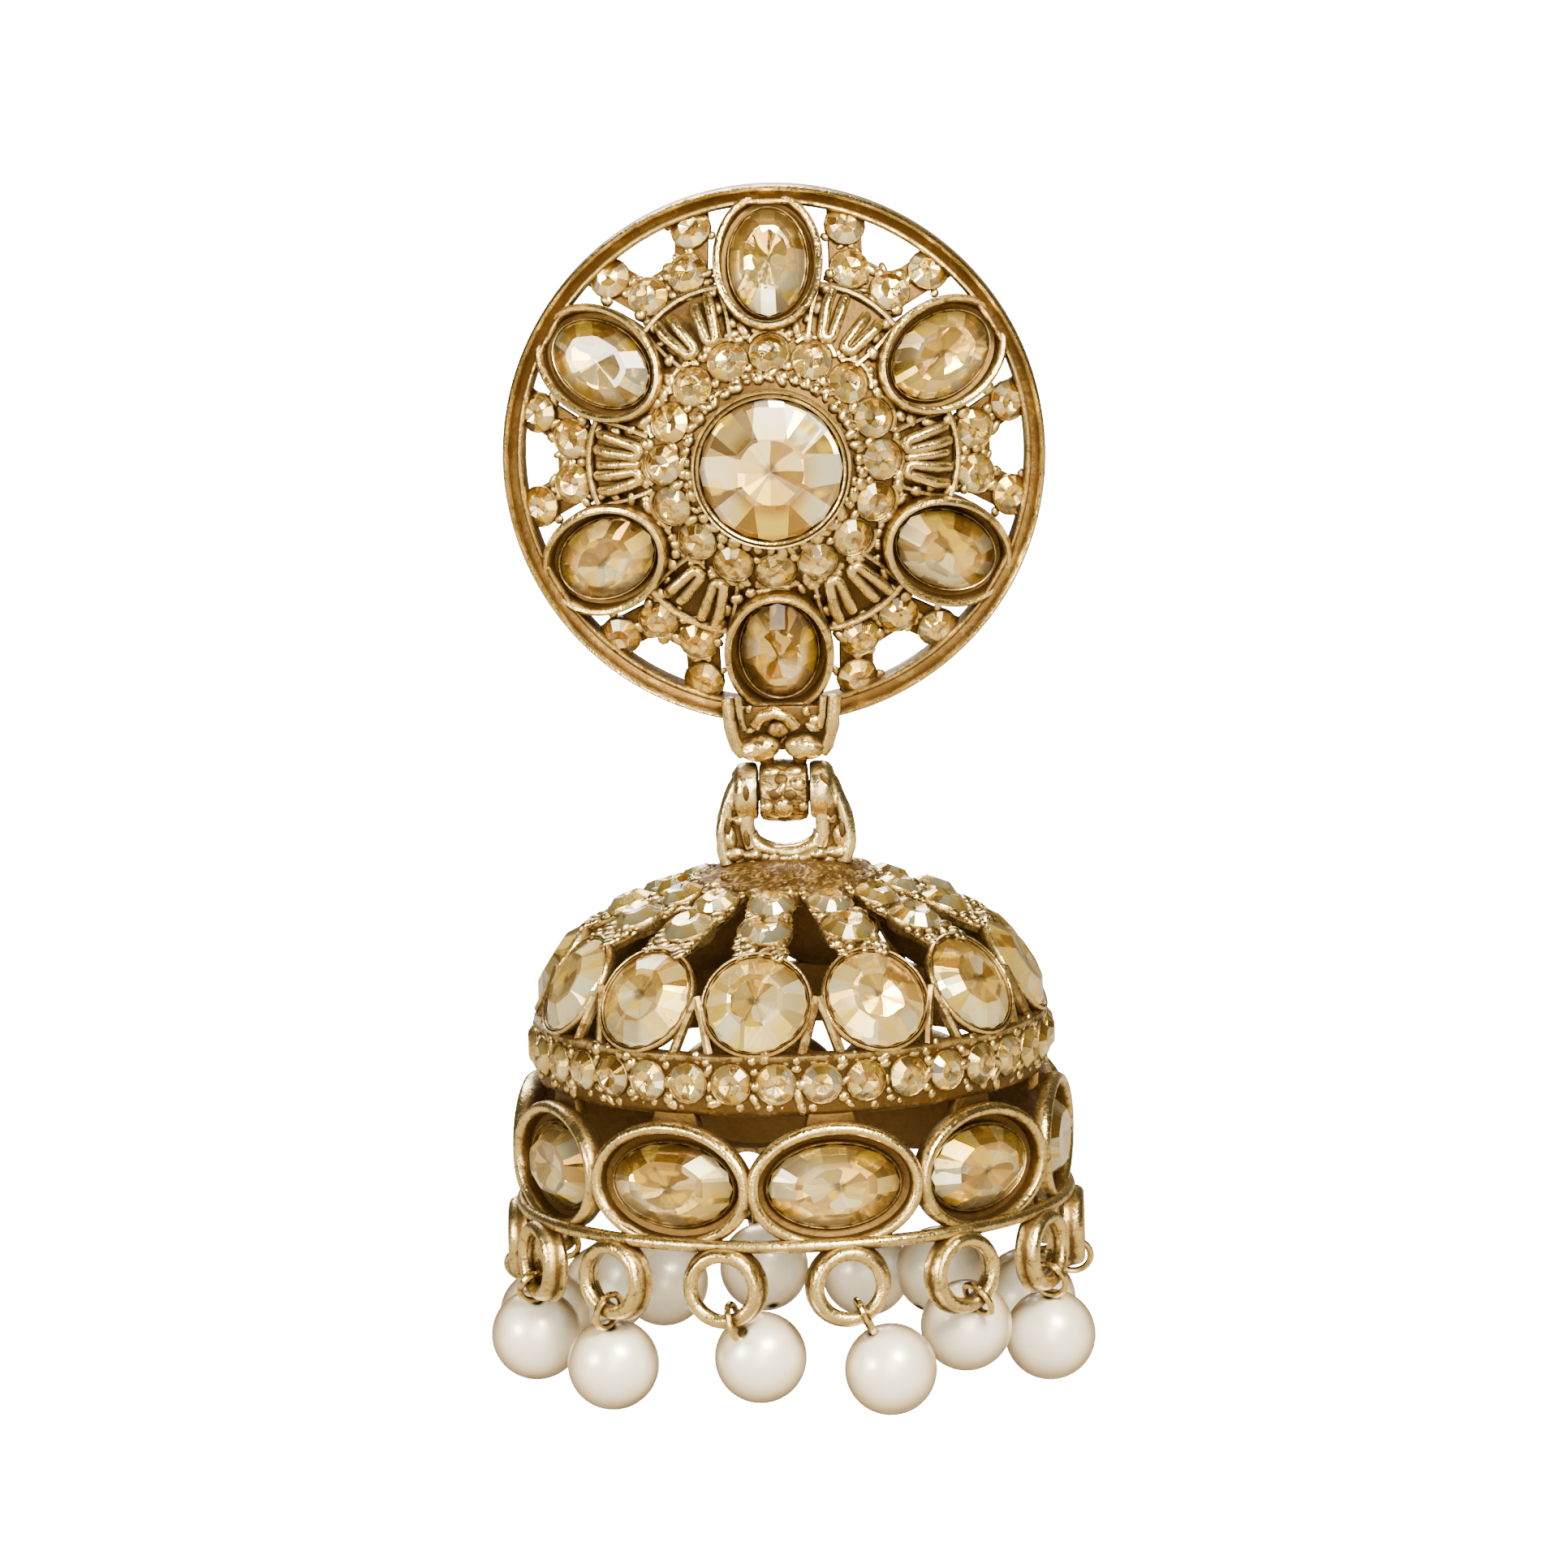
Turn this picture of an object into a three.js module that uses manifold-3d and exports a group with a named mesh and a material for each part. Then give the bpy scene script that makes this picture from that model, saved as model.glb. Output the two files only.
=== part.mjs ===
// A stud-topped bell earring of the jhumka kind, in millimetres, +Z up, front towards -Y.
// The origin is on the stud's axis, in its flat back plane, where the ear post crosses it.
// The stud stays on the ear; the bell, with its stones and pearls, swings about its bail's bar.

import * as THREE from "three";
import { mergeVertices } from "three/addons/utils/BufferGeometryUtils.js";
import Module from "manifold-3d";

const wasm = await Module();
wasm.setup();

// ---------------------------------------------------------------- driving sizes

const GAP = 0.3; // left between separate pieces

// The stud: a round openwork dome. Heights are measured forwards from its back plane.
const stud = {
  radius: 14.9,
  rimWidth: 1.15,
  rimHeight: 2.1,
  rimStep: 0.7,
  frontAtRim: 0.6,
  rise: 0.5,
  metal: 0.9,
  webInner: 3.6,
  webOuter: 9.9,
  segments: 28,
  webSegments: 16,
};
const STUD_RIM_INNER = stud.radius - stud.rimWidth;
const STUD_TILT = Math.atan(stud.rise);

// Every large stone sits in an oval cup. long and short are the cup's half axes, inner is the
// share of them that its hollow takes, and depth, recess, girdle and crown are measured from
// the cup's mouth. table is the share of the stone's width that its flat top takes.
const centre = {
  long: 4.35,
  short: 4.35,
  inner: 0.93,
  front: 8.0,
  depth: 3.9,
  recess: 2.1,
  girdle: -0.4,
  crown: 0.7,
  table: 0.58,
  sides: 16,
};

// Ovals lie round the stud, long axes towards its centre, their cups proud of its front.
const studOval = {
  count: 6,
  ring: 10.6,
  long: 4.0,
  short: 3.0,
  inner: 0.89,
  proud: 0.95,
  depth: 1.2,
  recess: 0.75,
  girdle: -0.25,
  crown: 0.3,
  table: 0.6,
  sides: 10,
};

// Between two ovals: a raised fan, and a fork of four small stones that reaches the rim.
const sector = {
  fanInner: { ring: 6.8, half: 1.3 },
  fanOuter: { ring: 9.8, half: 1.75 },
  fanHeight: 0.6,
  fanSunk: 0.3,
  forkFoot: { ring: 9.5, half: 1.7 },
  forkCrotch: 11.3,
  forkTip: { ring: 14.2, inside: 1.6, outside: 3.6 },
  stones: [
    { ring: 11.1, across: 1.3 },
    { ring: 12.8, across: 2.5 },
  ],
};

const haloStones = { count: 16, ring: 5.95 };

// The small stones are pointed knobs on the metal.
const tiny = { radius: 0.93, height: 0.5, sunk: 0.05, sides: 5 };

// The extension below the stud ends in the barrel that the bail's bar runs through.
const hinge = { z: -18.7, forward: 1.2, barRadius: 0.6 };
const barrel = { inner: 0.95, outer: 1.8, waist: 1.5, halfWidth: 1.85, ridge: 0.95 };
const extension = {
  top: -14.0,
  bottom: -16.5,
  halfTop: 3.1,
  halfBottom: 2.5,
  back: 0.5,
  front: 1.6,
};
const balls = [
  { x: 0, z: -15.3, forward: 1.9, radius: 0.95 },
  { x: -1.62, z: -16.2, forward: 1.4, radius: 0.9 },
  { x: 1.62, z: -16.2, forward: 1.4, radius: 0.9 },
];

const post = { radius: 0.45, tip: 11, taper: 0.4, tipRadius: 0.22, padRadius: 2.2, pad: 0.6 };

// The bell. Its heights are measured up from the bottom of its rim.
const bell = {
  rimBottom: -41.6,
  rimRadius: 15.5,
  rimHeight: 0.7,
  rimWidth: 0.8,
  rimSegments: 20,
};

const bellOval = {
  count: 10,
  turn: 10,
  ring: 15.0,
  height: 3.5,
  long: 4.8,
  short: 3.45,
  inner: 0.82,
  depth: 1.5,
  recess: 0.95,
  girdle: -0.1,
  crown: 0.45,
  table: 0.6,
  sides: 10,
};

const band = {
  count: 36,
  turn: 8,
  low: 6.45,
  high: 10.8,
  inner: 13.3,
  faceLow: 14.1,
  faceHigh: 14.4,
  stoneHeight: 9.15,
};

const domeStone = {
  count: 12,
  turn: -6.7,
  ring: 12.7,
  height: 13.3,
  rise: 32,
  long: 3.05,
  short: 3.05,
  inner: 0.9,
  depth: 0.95,
  recess: 0.6,
  girdle: 0,
  crown: 0.7,
  table: 0.58,
  sides: 10,
};

// Each dome stone hangs from an arm that carries two small stones.
const arm = {
  from: { ring: 11.14, height: 15.65 },
  to: { ring: 4.6, height: 18.2 },
  width: 1.95,
  metal: 0.8,
  stones: [8.2, 5.9],
};

const ARM_SLOPE = Math.atan2(arm.to.height - arm.from.height, arm.from.ring - arm.to.ring);

const capProfile = [
  { ring: 0, height: 17.0 },
  { ring: 5.1, height: 17.0 },
  { ring: 5.2, height: 18.2 },
  { ring: 3.2, height: 18.95 },
  { ring: 0, height: 19.15 },
];

// The bail is a fork: two arms beside the barrel, a bar between them, and an eye below it.
const bail = { thickness: 1.9, eyeDepth: 1.0, barHalf: 2.55 };

// Half of its outline about the hinge line: up the outside of an arm and down to the eye.
const bailHalf = [
  { x: 3.6, z: -3.95 },
  { x: 3.75, z: -2.5 },
  { x: 3.5, z: -1.5 },
  { x: 3.05, z: -0.4 },
  { x: 2.95, z: 0.6 },
  { x: 2.7, z: 1.2 },
  { x: 2.55, z: 1.35 },
  { x: 2.15, z: 1.05 },
  { x: 2.15, z: -1.9 },
  { x: 1.62, z: -2.2 },
];

// Cast rings under the rim, each with a pearl on a wire eye.
const ring = {
  count: 14,
  turn: 12,
  ring: 15.25,
  centre: -1.85,
  radius: 1.93,
  wire: 0.52,
  root: 0.3,
  sides: 4,
  steps: 6,
};
const pearl = { radius: 2.7, eyeRadius: 1.08, wire: 0.24, reach: 3.75 };

// How each pearl hangs, one row for a ring, from the front towards the right and round:
// side is how far along its ring the eye sits, inward how far the pearl leans in, in degrees.
const pearlHang = [
  { side: 25, inward: 12 },
  { side: 30, inward: 49 },
  { side: 20, inward: 10 },
  { side: 17, inward: 42 },
  { side: 12, inward: 14 },
  { side: 8, inward: 40 },
  { side: 0, inward: 12 },
  { side: -5, inward: 38 },
  { side: -12, inward: 12 },
  { side: -17, inward: 40 },
  { side: -25, inward: 15 },
  { side: -30, inward: 10 },
  { side: -15, inward: 20 },
  { side: 16, inward: 44 },
];

// ---------------------------------------------------------------- finishes

const finish = {
  gold: new THREE.MeshStandardMaterial({ color: 0xc9a467, roughness: 0.34, metalness: 1 }),
  stone: new THREE.MeshStandardMaterial({ color: 0xe8d0a0, roughness: 0.08, metalness: 0.1 }),
  pearl: new THREE.MeshStandardMaterial({ color: 0xf1e7da, roughness: 0.25, metalness: 0 }),
};

// ---------------------------------------------------------------- solids

const radians = THREE.MathUtils.degToRad;
const vector = (x, y, z) => new THREE.Vector3(x, y, z);
const range = (count) => [...Array(count).keys()];

// A closed geometry as a manifold solid, its faces turned outwards.
function solidOf(geometry) {
  const bare = new THREE.BufferGeometry();
  bare.setAttribute("position", geometry.getAttribute("position"));
  bare.setIndex(geometry.index);
  const merged = mergeVertices(bare, 1e-4);
  const corners = merged.index.array;
  const triangles = [];
  for (let i = 0; i < corners.length; i += 3) {
    const [a, b, c] = [corners[i], corners[i + 1], corners[i + 2]];
    if (a !== b && b !== c && c !== a) triangles.push([a, b, c]);
  }
  const build = (list) =>
    new wasm.Manifold(
      new wasm.Mesh({
        numProp: 3,
        vertProperties: new Float32Array(merged.attributes.position.array),
        triVerts: new Uint32Array(list.flat()),
      }),
    );
  const solid = build(triangles);
  return solid.volume() > 0 ? solid : build(triangles.map(([a, b, c]) => [a, c, b]));
}

function joined(solids) {
  return solids.reduce((whole, piece) => whole.add(piece));
}

function geometryOf(solid) {
  const { vertProperties, triVerts } = solid.getMesh();
  const geometry = new THREE.BufferGeometry();
  geometry.setAttribute("position", new THREE.BufferAttribute(vertProperties, 3));
  geometry.setIndex(new THREE.BufferAttribute(triVerts, 1));
  return geometry;
}

// A copy of a solid in another frame.
const placed = (solid, frame) => solidOf(geometryOf(solid).applyMatrix4(frame));

function meshOf(name, solid, material) {
  const geometry = geometryOf(solid);
  geometry.computeVertexNormals();
  const mesh = new THREE.Mesh(geometry, material);
  mesh.name = name;
  return mesh;
}

// A frame at origin with Z along outward and X as near to along as it can be.
function frameAt(origin, along, outward) {
  const z = outward.clone().normalize();
  const x = along.clone().addScaledVector(z, -along.dot(z)).normalize();
  const y = vector(0, 0, 0).crossVectors(z, x);
  return new THREE.Matrix4().makeBasis(x, y, z).setPosition(origin);
}

// A profile of [radius, height] turned about Z, start in radians from the -Y side.
function turnedAboutZ(profile, segments, frame, start = 0) {
  const points = profile.map(([r, h]) => new THREE.Vector2(r, h));
  const turned = new THREE.LatheGeometry(points, segments, start).rotateX(Math.PI / 2);
  return solidOf(turned.applyMatrix4(frame));
}

// The same about an oval of half axes a and b, with flats at the ends of both.
function turnedOval(a, b, profile, sides, frame) {
  const toOval = new THREE.Matrix4().makeScale(a, b, 1);
  return turnedAboutZ(profile, sides, frame.clone().multiply(toOval), Math.PI / sides);
}

// A stone's cup, its mouth at Z = 0.
function setting({ long, short, inner, depth, recess, sides }, frame) {
  const profile = [
    [0, -depth],
    [1, -depth],
    [1, 0],
    [inner, 0],
    [inner, -recess],
    [0, -recess],
  ];
  return turnedOval(long, short, profile, sides, frame);
}

// The cut stone in that cup: flat back, upright girdle, sloping crown and flat table.
function cutStone({ long, short, inner, recess, girdle, crown, table, sides }, frame) {
  const profile = [
    [0, GAP - recess],
    [1, GAP - recess],
    [1, girdle],
    [table, crown],
    [0, crown],
  ];
  return turnedOval(long * inner - GAP, short * inner - GAP, profile, sides, frame);
}

// A small pointed stone, sunk a little into the metal at Z = 0.
function tinyStone(frame) {
  const { radius, height, sunk, sides } = tiny;
  const knob = new THREE.ConeGeometry(radius, height + sunk, sides);
  knob.rotateX(Math.PI / 2).translate(0, 0, (height - sunk) / 2);
  return solidOf(knob.applyMatrix4(frame));
}

// ---------------------------------------------------------------- stud

// A place on the stud: turn is clockwise from the top, seen from the front.
function studPoint(turn, ringRadius, height) {
  const t = radians(turn);
  return vector(ringRadius * Math.sin(t), -height, ringRadius * Math.cos(t));
}

const studFront = (ringRadius) => stud.frontAtRim + stud.rise * (STUD_RIM_INNER - ringRadius);

// The frame on the dome's sloping front: X points outwards and down the slope.
function studFrame(turn, ringRadius, lift = 0) {
  const outwards = studPoint(turn, 1, 0);
  const normal = outwards
    .clone()
    .multiplyScalar(Math.sin(STUD_TILT))
    .add(vector(0, -Math.cos(STUD_TILT), 0));
  const origin = studPoint(turn, ringRadius, studFront(ringRadius)).addScaledVector(normal, lift);
  return frameAt(origin, outwards, normal);
}

const studAxis = frameAt(vector(0, 0, 0), vector(1, 0, 0), vector(0, -1, 0));

function studRim() {
  const { radius, rimHeight, rimStep, segments } = stud;
  const profile = [
    [STUD_RIM_INNER, 0],
    [radius, 0],
    [radius, rimHeight],
    [STUD_RIM_INNER, rimStep],
    [STUD_RIM_INNER, 0],
  ];
  return turnedAboutZ(profile, segments, studAxis);
}

// The ring of metal round the centre. Its flats, not its edges, lie on the dome's front.
function studWeb() {
  const { webInner, webOuter, metal, webSegments } = stud;
  const reach = 1 / Math.cos(Math.PI / webSegments);
  const profile = [
    [webInner * reach, studFront(webInner) - metal],
    [webOuter * reach, studFront(webOuter) - metal],
    [webOuter * reach, studFront(webOuter)],
    [webInner * reach, studFront(webInner)],
    [webInner * reach, studFront(webInner) - metal],
  ];
  return turnedAboutZ(profile, webSegments, studAxis, Math.PI / webSegments);
}

// A flat plate in the plane of studFrame(turn, 0), its outline given as [ring, across].
function studPlate(outline, low, high) {
  const points = outline.map(([r, y]) => new THREE.Vector2(r / Math.cos(STUD_TILT), y));
  const shape = new THREE.Shape(points);
  const plate = new THREE.ExtrudeGeometry(shape, { depth: high - low, bevelEnabled: false });
  return solidOf(plate.translate(0, 0, low));
}

function sectorFork() {
  const { forkFoot, forkCrotch, forkTip, stones } = sector;
  const half = [
    [forkFoot.ring, forkFoot.half],
    [forkTip.ring, forkTip.outside],
    [forkTip.ring, forkTip.inside],
  ];
  const mirrored = half.toReversed().map(([r, y]) => [r, -y]);
  const fork = studPlate([...half, [forkCrotch, 0], ...mirrored], -stud.metal, 0);
  const knobs = stones.flatMap(({ ring: r, across }) =>
    [-across, across].map((y) =>
      tinyStone(new THREE.Matrix4().makeTranslation(r / Math.cos(STUD_TILT), y, 0)),
    ),
  );
  return joined([fork, ...knobs]);
}

// The raised fan of a sector, widening outwards.
function sectorFan() {
  const { fanInner, fanOuter, fanHeight, fanSunk } = sector;
  const outline = [
    [fanInner.ring, -fanInner.half],
    [fanOuter.ring, -fanOuter.half],
    [fanOuter.ring, fanOuter.half],
    [fanInner.ring, fanInner.half],
  ];
  return studPlate(outline, -fanSunk, fanHeight);
}

function studExtension() {
  const { top, bottom, halfTop, halfBottom, back, front } = extension;
  const plateShape = new THREE.Shape([
    new THREE.Vector2(-halfTop, top),
    new THREE.Vector2(-halfBottom, bottom),
    new THREE.Vector2(halfBottom, bottom),
    new THREE.Vector2(halfTop, top),
  ]);
  const upright = frameAt(vector(0, 0, 0), vector(1, 0, 0), vector(0, -1, 0));
  const plate = new THREE.ExtrudeGeometry(plateShape, { depth: front - back, bevelEnabled: false });
  plate.translate(0, 0, back);
  const beads = balls.map(({ x, z, forward, radius }) =>
    solidOf(new THREE.SphereGeometry(radius, 6, 4).translate(x, -forward, z)),
  );
  return joined([solidOf(plate.applyMatrix4(upright)), ...beads, hingeBarrel()]);
}

// The barrel about the hinge line, with a ridge at each end and a waist between.
function hingeBarrel() {
  const { inner, outer, waist, halfWidth, ridge } = barrel;
  const profile = [
    [inner, -halfWidth],
    [outer, -halfWidth],
    [outer, -ridge],
    [waist, -ridge],
    [waist, ridge],
    [outer, ridge],
    [outer, halfWidth],
    [inner, halfWidth],
    [inner, -halfWidth],
  ];
  const origin = vector(0, -hinge.forward, hinge.z);
  return turnedAboutZ(profile, 8, frameAt(origin, vector(0, 1, 0), vector(1, 0, 0)));
}

const sectorTurns = range(studOval.count).map((i) => ((i + 0.5) * 360) / studOval.count);
const ovalTurns = range(studOval.count).map((i) => (i * 360) / studOval.count);

const studOvalFrame = (turn) => studFrame(turn, studOval.ring, studOval.proud);
const centreFrame = frameAt(vector(0, -centre.front, 0), vector(1, 0, 0), vector(0, -1, 0));

function studMetal() {
  const sectorPlates = joined([sectorFan(), sectorFork()]);
  const haloFrames = range(haloStones.count).map((i) =>
    studFrame((i * 360) / haloStones.count, haloStones.ring),
  );
  return joined([
    studRim(),
    studWeb(),
    ...sectorTurns.map((turn) => placed(sectorPlates, studFrame(turn, 0))),
    ...haloFrames.map(tinyStone),
    ...ovalTurns.map((turn) => setting(studOval, studOvalFrame(turn))),
    setting(centre, centreFrame),
    studExtension(),
  ]);
}

function earPost() {
  const { radius, tip, taper, tipRadius, padRadius, pad } = post;
  const padFront = centre.front - centre.depth - GAP;
  const profile = [
    [0, padFront],
    [padRadius, padFront],
    [padRadius, padFront - pad],
    [radius, padFront - pad],
    [radius, taper - tip],
    [tipRadius, -tip],
    [0, -tip],
  ];
  return turnedAboutZ(profile, 8, studAxis);
}

// ---------------------------------------------------------------- bell

// A place on the bell: turn is from the front towards the right, seen from the front.
function bellPoint(turn, ringRadius, height) {
  const t = radians(turn);
  return vector(
    ringRadius * Math.sin(t),
    -hinge.forward - ringRadius * Math.cos(t),
    bell.rimBottom + height,
  );
}

const bellOutwards = (turn) => vector(Math.sin(radians(turn)), -Math.cos(radians(turn)), 0);
const bellSideways = (turn) => vector(Math.cos(radians(turn)), Math.sin(radians(turn)), 0);

// The frame of a stone on the bell: X runs round the bell, Z faces out and up by rise degrees.
function bellFrame(turn, ringRadius, height, rise = 0) {
  const facing = bellOutwards(turn)
    .multiplyScalar(Math.cos(radians(rise)))
    .add(vector(0, 0, Math.sin(radians(rise))));
  return frameAt(bellPoint(turn, ringRadius, height), bellSideways(turn), facing);
}

const bellAxis = frameAt(
  vector(0, -hinge.forward, bell.rimBottom),
  vector(1, 0, 0),
  vector(0, 0, 1),
);

const turnsOf = ({ count, turn }) => range(count).map((i) => turn + (i * 360) / count);

// The rim's flats face the ovals.
function bellRim() {
  const { rimRadius, rimWidth, rimHeight, rimSegments } = bell;
  const profile = [
    [rimRadius - rimWidth, 0],
    [rimRadius, 0],
    [rimRadius, rimHeight],
    [rimRadius - rimWidth, rimHeight],
    [rimRadius - rimWidth, 0],
  ];
  const start = radians(bellOval.turn) + Math.PI / rimSegments;
  return turnedAboutZ(profile, rimSegments, bellAxis, start);
}

function bellBand() {
  const { low, high, inner, faceLow, faceHigh, stoneHeight, count } = band;
  const profile = [
    [inner, low],
    [faceLow, low],
    [faceHigh, high],
    [inner, high],
    [inner, low],
  ];
  const halfStep = Math.PI / count;
  const hoop = turnedAboutZ(profile, count, bellAxis, radians(band.turn) + halfStep);
  const flat = ((faceLow + faceHigh) / 2) * Math.cos(halfStep);
  const stones = turnsOf(band).map((turn) => tinyStone(bellFrame(turn, flat, stoneHeight)));
  return joined([hoop, ...stones]);
}

// An arm with its stones. X runs from the dome stone's setting into the cap, Z is its front.
function domeArm() {
  const { from, to, width, metal, stones } = arm;
  const length = Math.hypot(to.height - from.height, from.ring - to.ring);
  const undercut = metal * Math.tan(Math.PI / 2 - radians(domeStone.rise) - ARM_SLOPE);
  const side = new THREE.Shape([
    new THREE.Vector2(0, 0),
    new THREE.Vector2(undercut, -metal),
    new THREE.Vector2(length, -metal),
    new THREE.Vector2(length, 0),
  ]);
  const slab = new THREE.ExtrudeGeometry(side, { depth: width, bevelEnabled: false });
  slab.translate(0, 0, -width / 2).rotateX(Math.PI / 2);
  const knobs = stones.map((r) => {
    const along = (from.ring - r) / Math.cos(ARM_SLOPE);
    return tinyStone(new THREE.Matrix4().makeTranslation(along, 0, 0));
  });
  return joined([solidOf(slab), ...knobs]);
}

function armFrame(turn) {
  const { from, to } = arm;
  const start = bellPoint(turn, from.ring, from.height);
  const along = bellPoint(turn, to.ring, to.height).sub(start);
  const front = bellOutwards(turn).multiplyScalar(Math.sin(ARM_SLOPE));
  front.z = Math.cos(ARM_SLOPE);
  return frameAt(start, along, front);
}

function bellCap() {
  return turnedAboutZ(
    capProfile.map(({ ring: r, height }) => [r, height]),
    domeStone.count,
    bellAxis,
    radians(domeStone.turn + 180 / domeStone.count),
  );
}

// The bail's outline, seen from the front, about the hinge line.
function bailOutline() {
  const half = bailHalf.map(({ x, z }) => new THREE.Vector2(x, z));
  const corner = half.at(-1);
  const eye = range(3).map((i) => {
    const t = ((i + 1) / 4) * Math.PI;
    return new THREE.Vector2(corner.x * Math.cos(t), corner.y - bail.eyeDepth * Math.sin(t));
  });
  const mirrored = half.toReversed().map(({ x, y }) => new THREE.Vector2(-x, y));
  return [...half, ...eye, ...mirrored];
}

function bellBail() {
  const { thickness, barHalf } = bail;
  const upright = frameAt(vector(0, -hinge.forward, hinge.z), vector(1, 0, 0), vector(0, -1, 0));
  const shape = new THREE.Shape(bailOutline());
  const yoke = new THREE.ExtrudeGeometry(shape, { depth: thickness, bevelEnabled: false });
  yoke.translate(0, 0, -thickness / 2);
  const bar = new THREE.CylinderGeometry(hinge.barRadius, hinge.barRadius, 2 * barHalf, 8);
  bar.rotateZ(Math.PI / 2);
  return joined([yoke, bar].map((geometry) => solidOf(geometry.applyMatrix4(upright))));
}

// The centre line of a hanging ring: down one leg, round, and up the other.
class RingLine extends THREE.Curve {
  getPoint(t) {
    const { radius, centre: low, root } = ring;
    const leg = root - low;
    const arc = Math.PI * radius;
    const s = t * (2 * leg + arc);
    if (s < leg) return vector(-radius, root - s, 0);
    if (s > leg + arc) return vector(radius, low + (s - leg - arc), 0);
    const a = (s - leg) / radius;
    return vector(-radius * Math.cos(a), low - radius * Math.sin(a), 0);
  }
}

function hangingRing(turn) {
  const section = new THREE.Shape(
    range(ring.sides).map((i) => {
      const t = (i / ring.sides) * 2 * Math.PI;
      return new THREE.Vector2(ring.wire * Math.cos(t), ring.wire * Math.sin(t));
    }),
  );
  const { steps } = ring;
  const geometry = new THREE.ExtrudeGeometry(section, { steps, extrudePath: new RingLine() });
  const origin = bellPoint(turn, ring.ring, 0);
  const frame = frameAt(origin, bellSideways(turn), bellOutwards(turn));
  return solidOf(geometry.applyMatrix4(frame));
}

const bellOvalFrame = (turn) => bellFrame(turn, bellOval.ring, bellOval.height);

// Turned a quarter, so that a flat of the round setting faces its arm.
function domeFrame(turn) {
  const quarter = new THREE.Matrix4().makeRotationZ(Math.PI / 2);
  return bellFrame(turn, domeStone.ring, domeStone.height, domeStone.rise).multiply(quarter);
}

function bellMetal() {
  const armOnce = domeArm();
  return joined([
    bellRim(),
    ...turnsOf(bellOval).map((turn) => setting(bellOval, bellOvalFrame(turn))),
    bellBand(),
    ...turnsOf(domeStone).map((turn) => setting(domeStone, domeFrame(turn))),
    ...turnsOf(domeStone).map((turn) => placed(armOnce, armFrame(turn))),
    bellCap(),
    bellBail(),
    ...turnsOf(ring).map(hangingRing),
  ]);
}

// A pearl and the wire eye it hangs by, looped through its ring.
function pearlDrop(turn, { side, inward }) {
  const [s, lean] = [radians(side), radians(inward)];
  const [across, out] = [bellSideways(turn), bellOutwards(turn)];
  const away = across.clone().multiplyScalar(Math.sin(s)).add(vector(0, 0, -Math.cos(s)));
  const wireLine = across.clone().multiplyScalar(Math.cos(s)).add(vector(0, 0, Math.sin(s)));
  const eyeCentre = bellPoint(turn, ring.ring, ring.centre).addScaledVector(away, ring.radius);
  const hang = away.clone().multiplyScalar(Math.cos(lean)).addScaledVector(out, -Math.sin(lean));
  const ball = new THREE.SphereGeometry(pearl.radius, 8, 5).rotateX(-Math.PI / 2);
  ball.applyMatrix4(
    frameAt(eyeCentre.clone().addScaledVector(hang, pearl.reach), wireLine, hang),
  );
  const eye = new THREE.TorusGeometry(pearl.eyeRadius, pearl.wire, 3, 6);
  eye.applyMatrix4(frameAt(eyeCentre, hang, wireLine));
  return solidOf(ball).add(solidOf(eye));
}

// ---------------------------------------------------------------- assembly

const number = (i) => String(i + 1).padStart(2, "0");

const onEar = new THREE.Group();
onEar.add(
  meshOf("stud_frame", studMetal(), finish.gold),
  meshOf("ear_post", earPost(), finish.gold),
  meshOf("centre_stone", cutStone(centre, centreFrame), finish.stone),
  ...ovalTurns.map((turn, i) =>
    meshOf(`stud_oval_${number(i)}`, cutStone(studOval, studOvalFrame(turn)), finish.stone),
  ),
);

const swinging = new THREE.Group();
swinging.add(
  meshOf("bell_frame", bellMetal(), finish.gold),
  ...turnsOf(domeStone).map((turn, i) =>
    meshOf(`dome_stone_${number(i)}`, cutStone(domeStone, domeFrame(turn)), finish.stone),
  ),
  ...turnsOf(bellOval).map((turn, i) =>
    meshOf(`bell_oval_${number(i)}`, cutStone(bellOval, bellOvalFrame(turn)), finish.stone),
  ),
  ...turnsOf(ring).map((turn, i) =>
    meshOf(`pearl_drop_${number(i)}`, pearlDrop(turn, pearlHang[i]), finish.pearl),
  ),
);

const earring = new THREE.Group();
earring.add(onEar, swinging);

export default earring;
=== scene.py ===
# The stud-topped bell earring dressed in antique gold, champagne crystal and pearl.
# Sizes are in millimetres and are brought to metres by MM. The front faces -Y.

import math
import random

import bmesh
import bpy
from mathutils import Matrix, Vector


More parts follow.
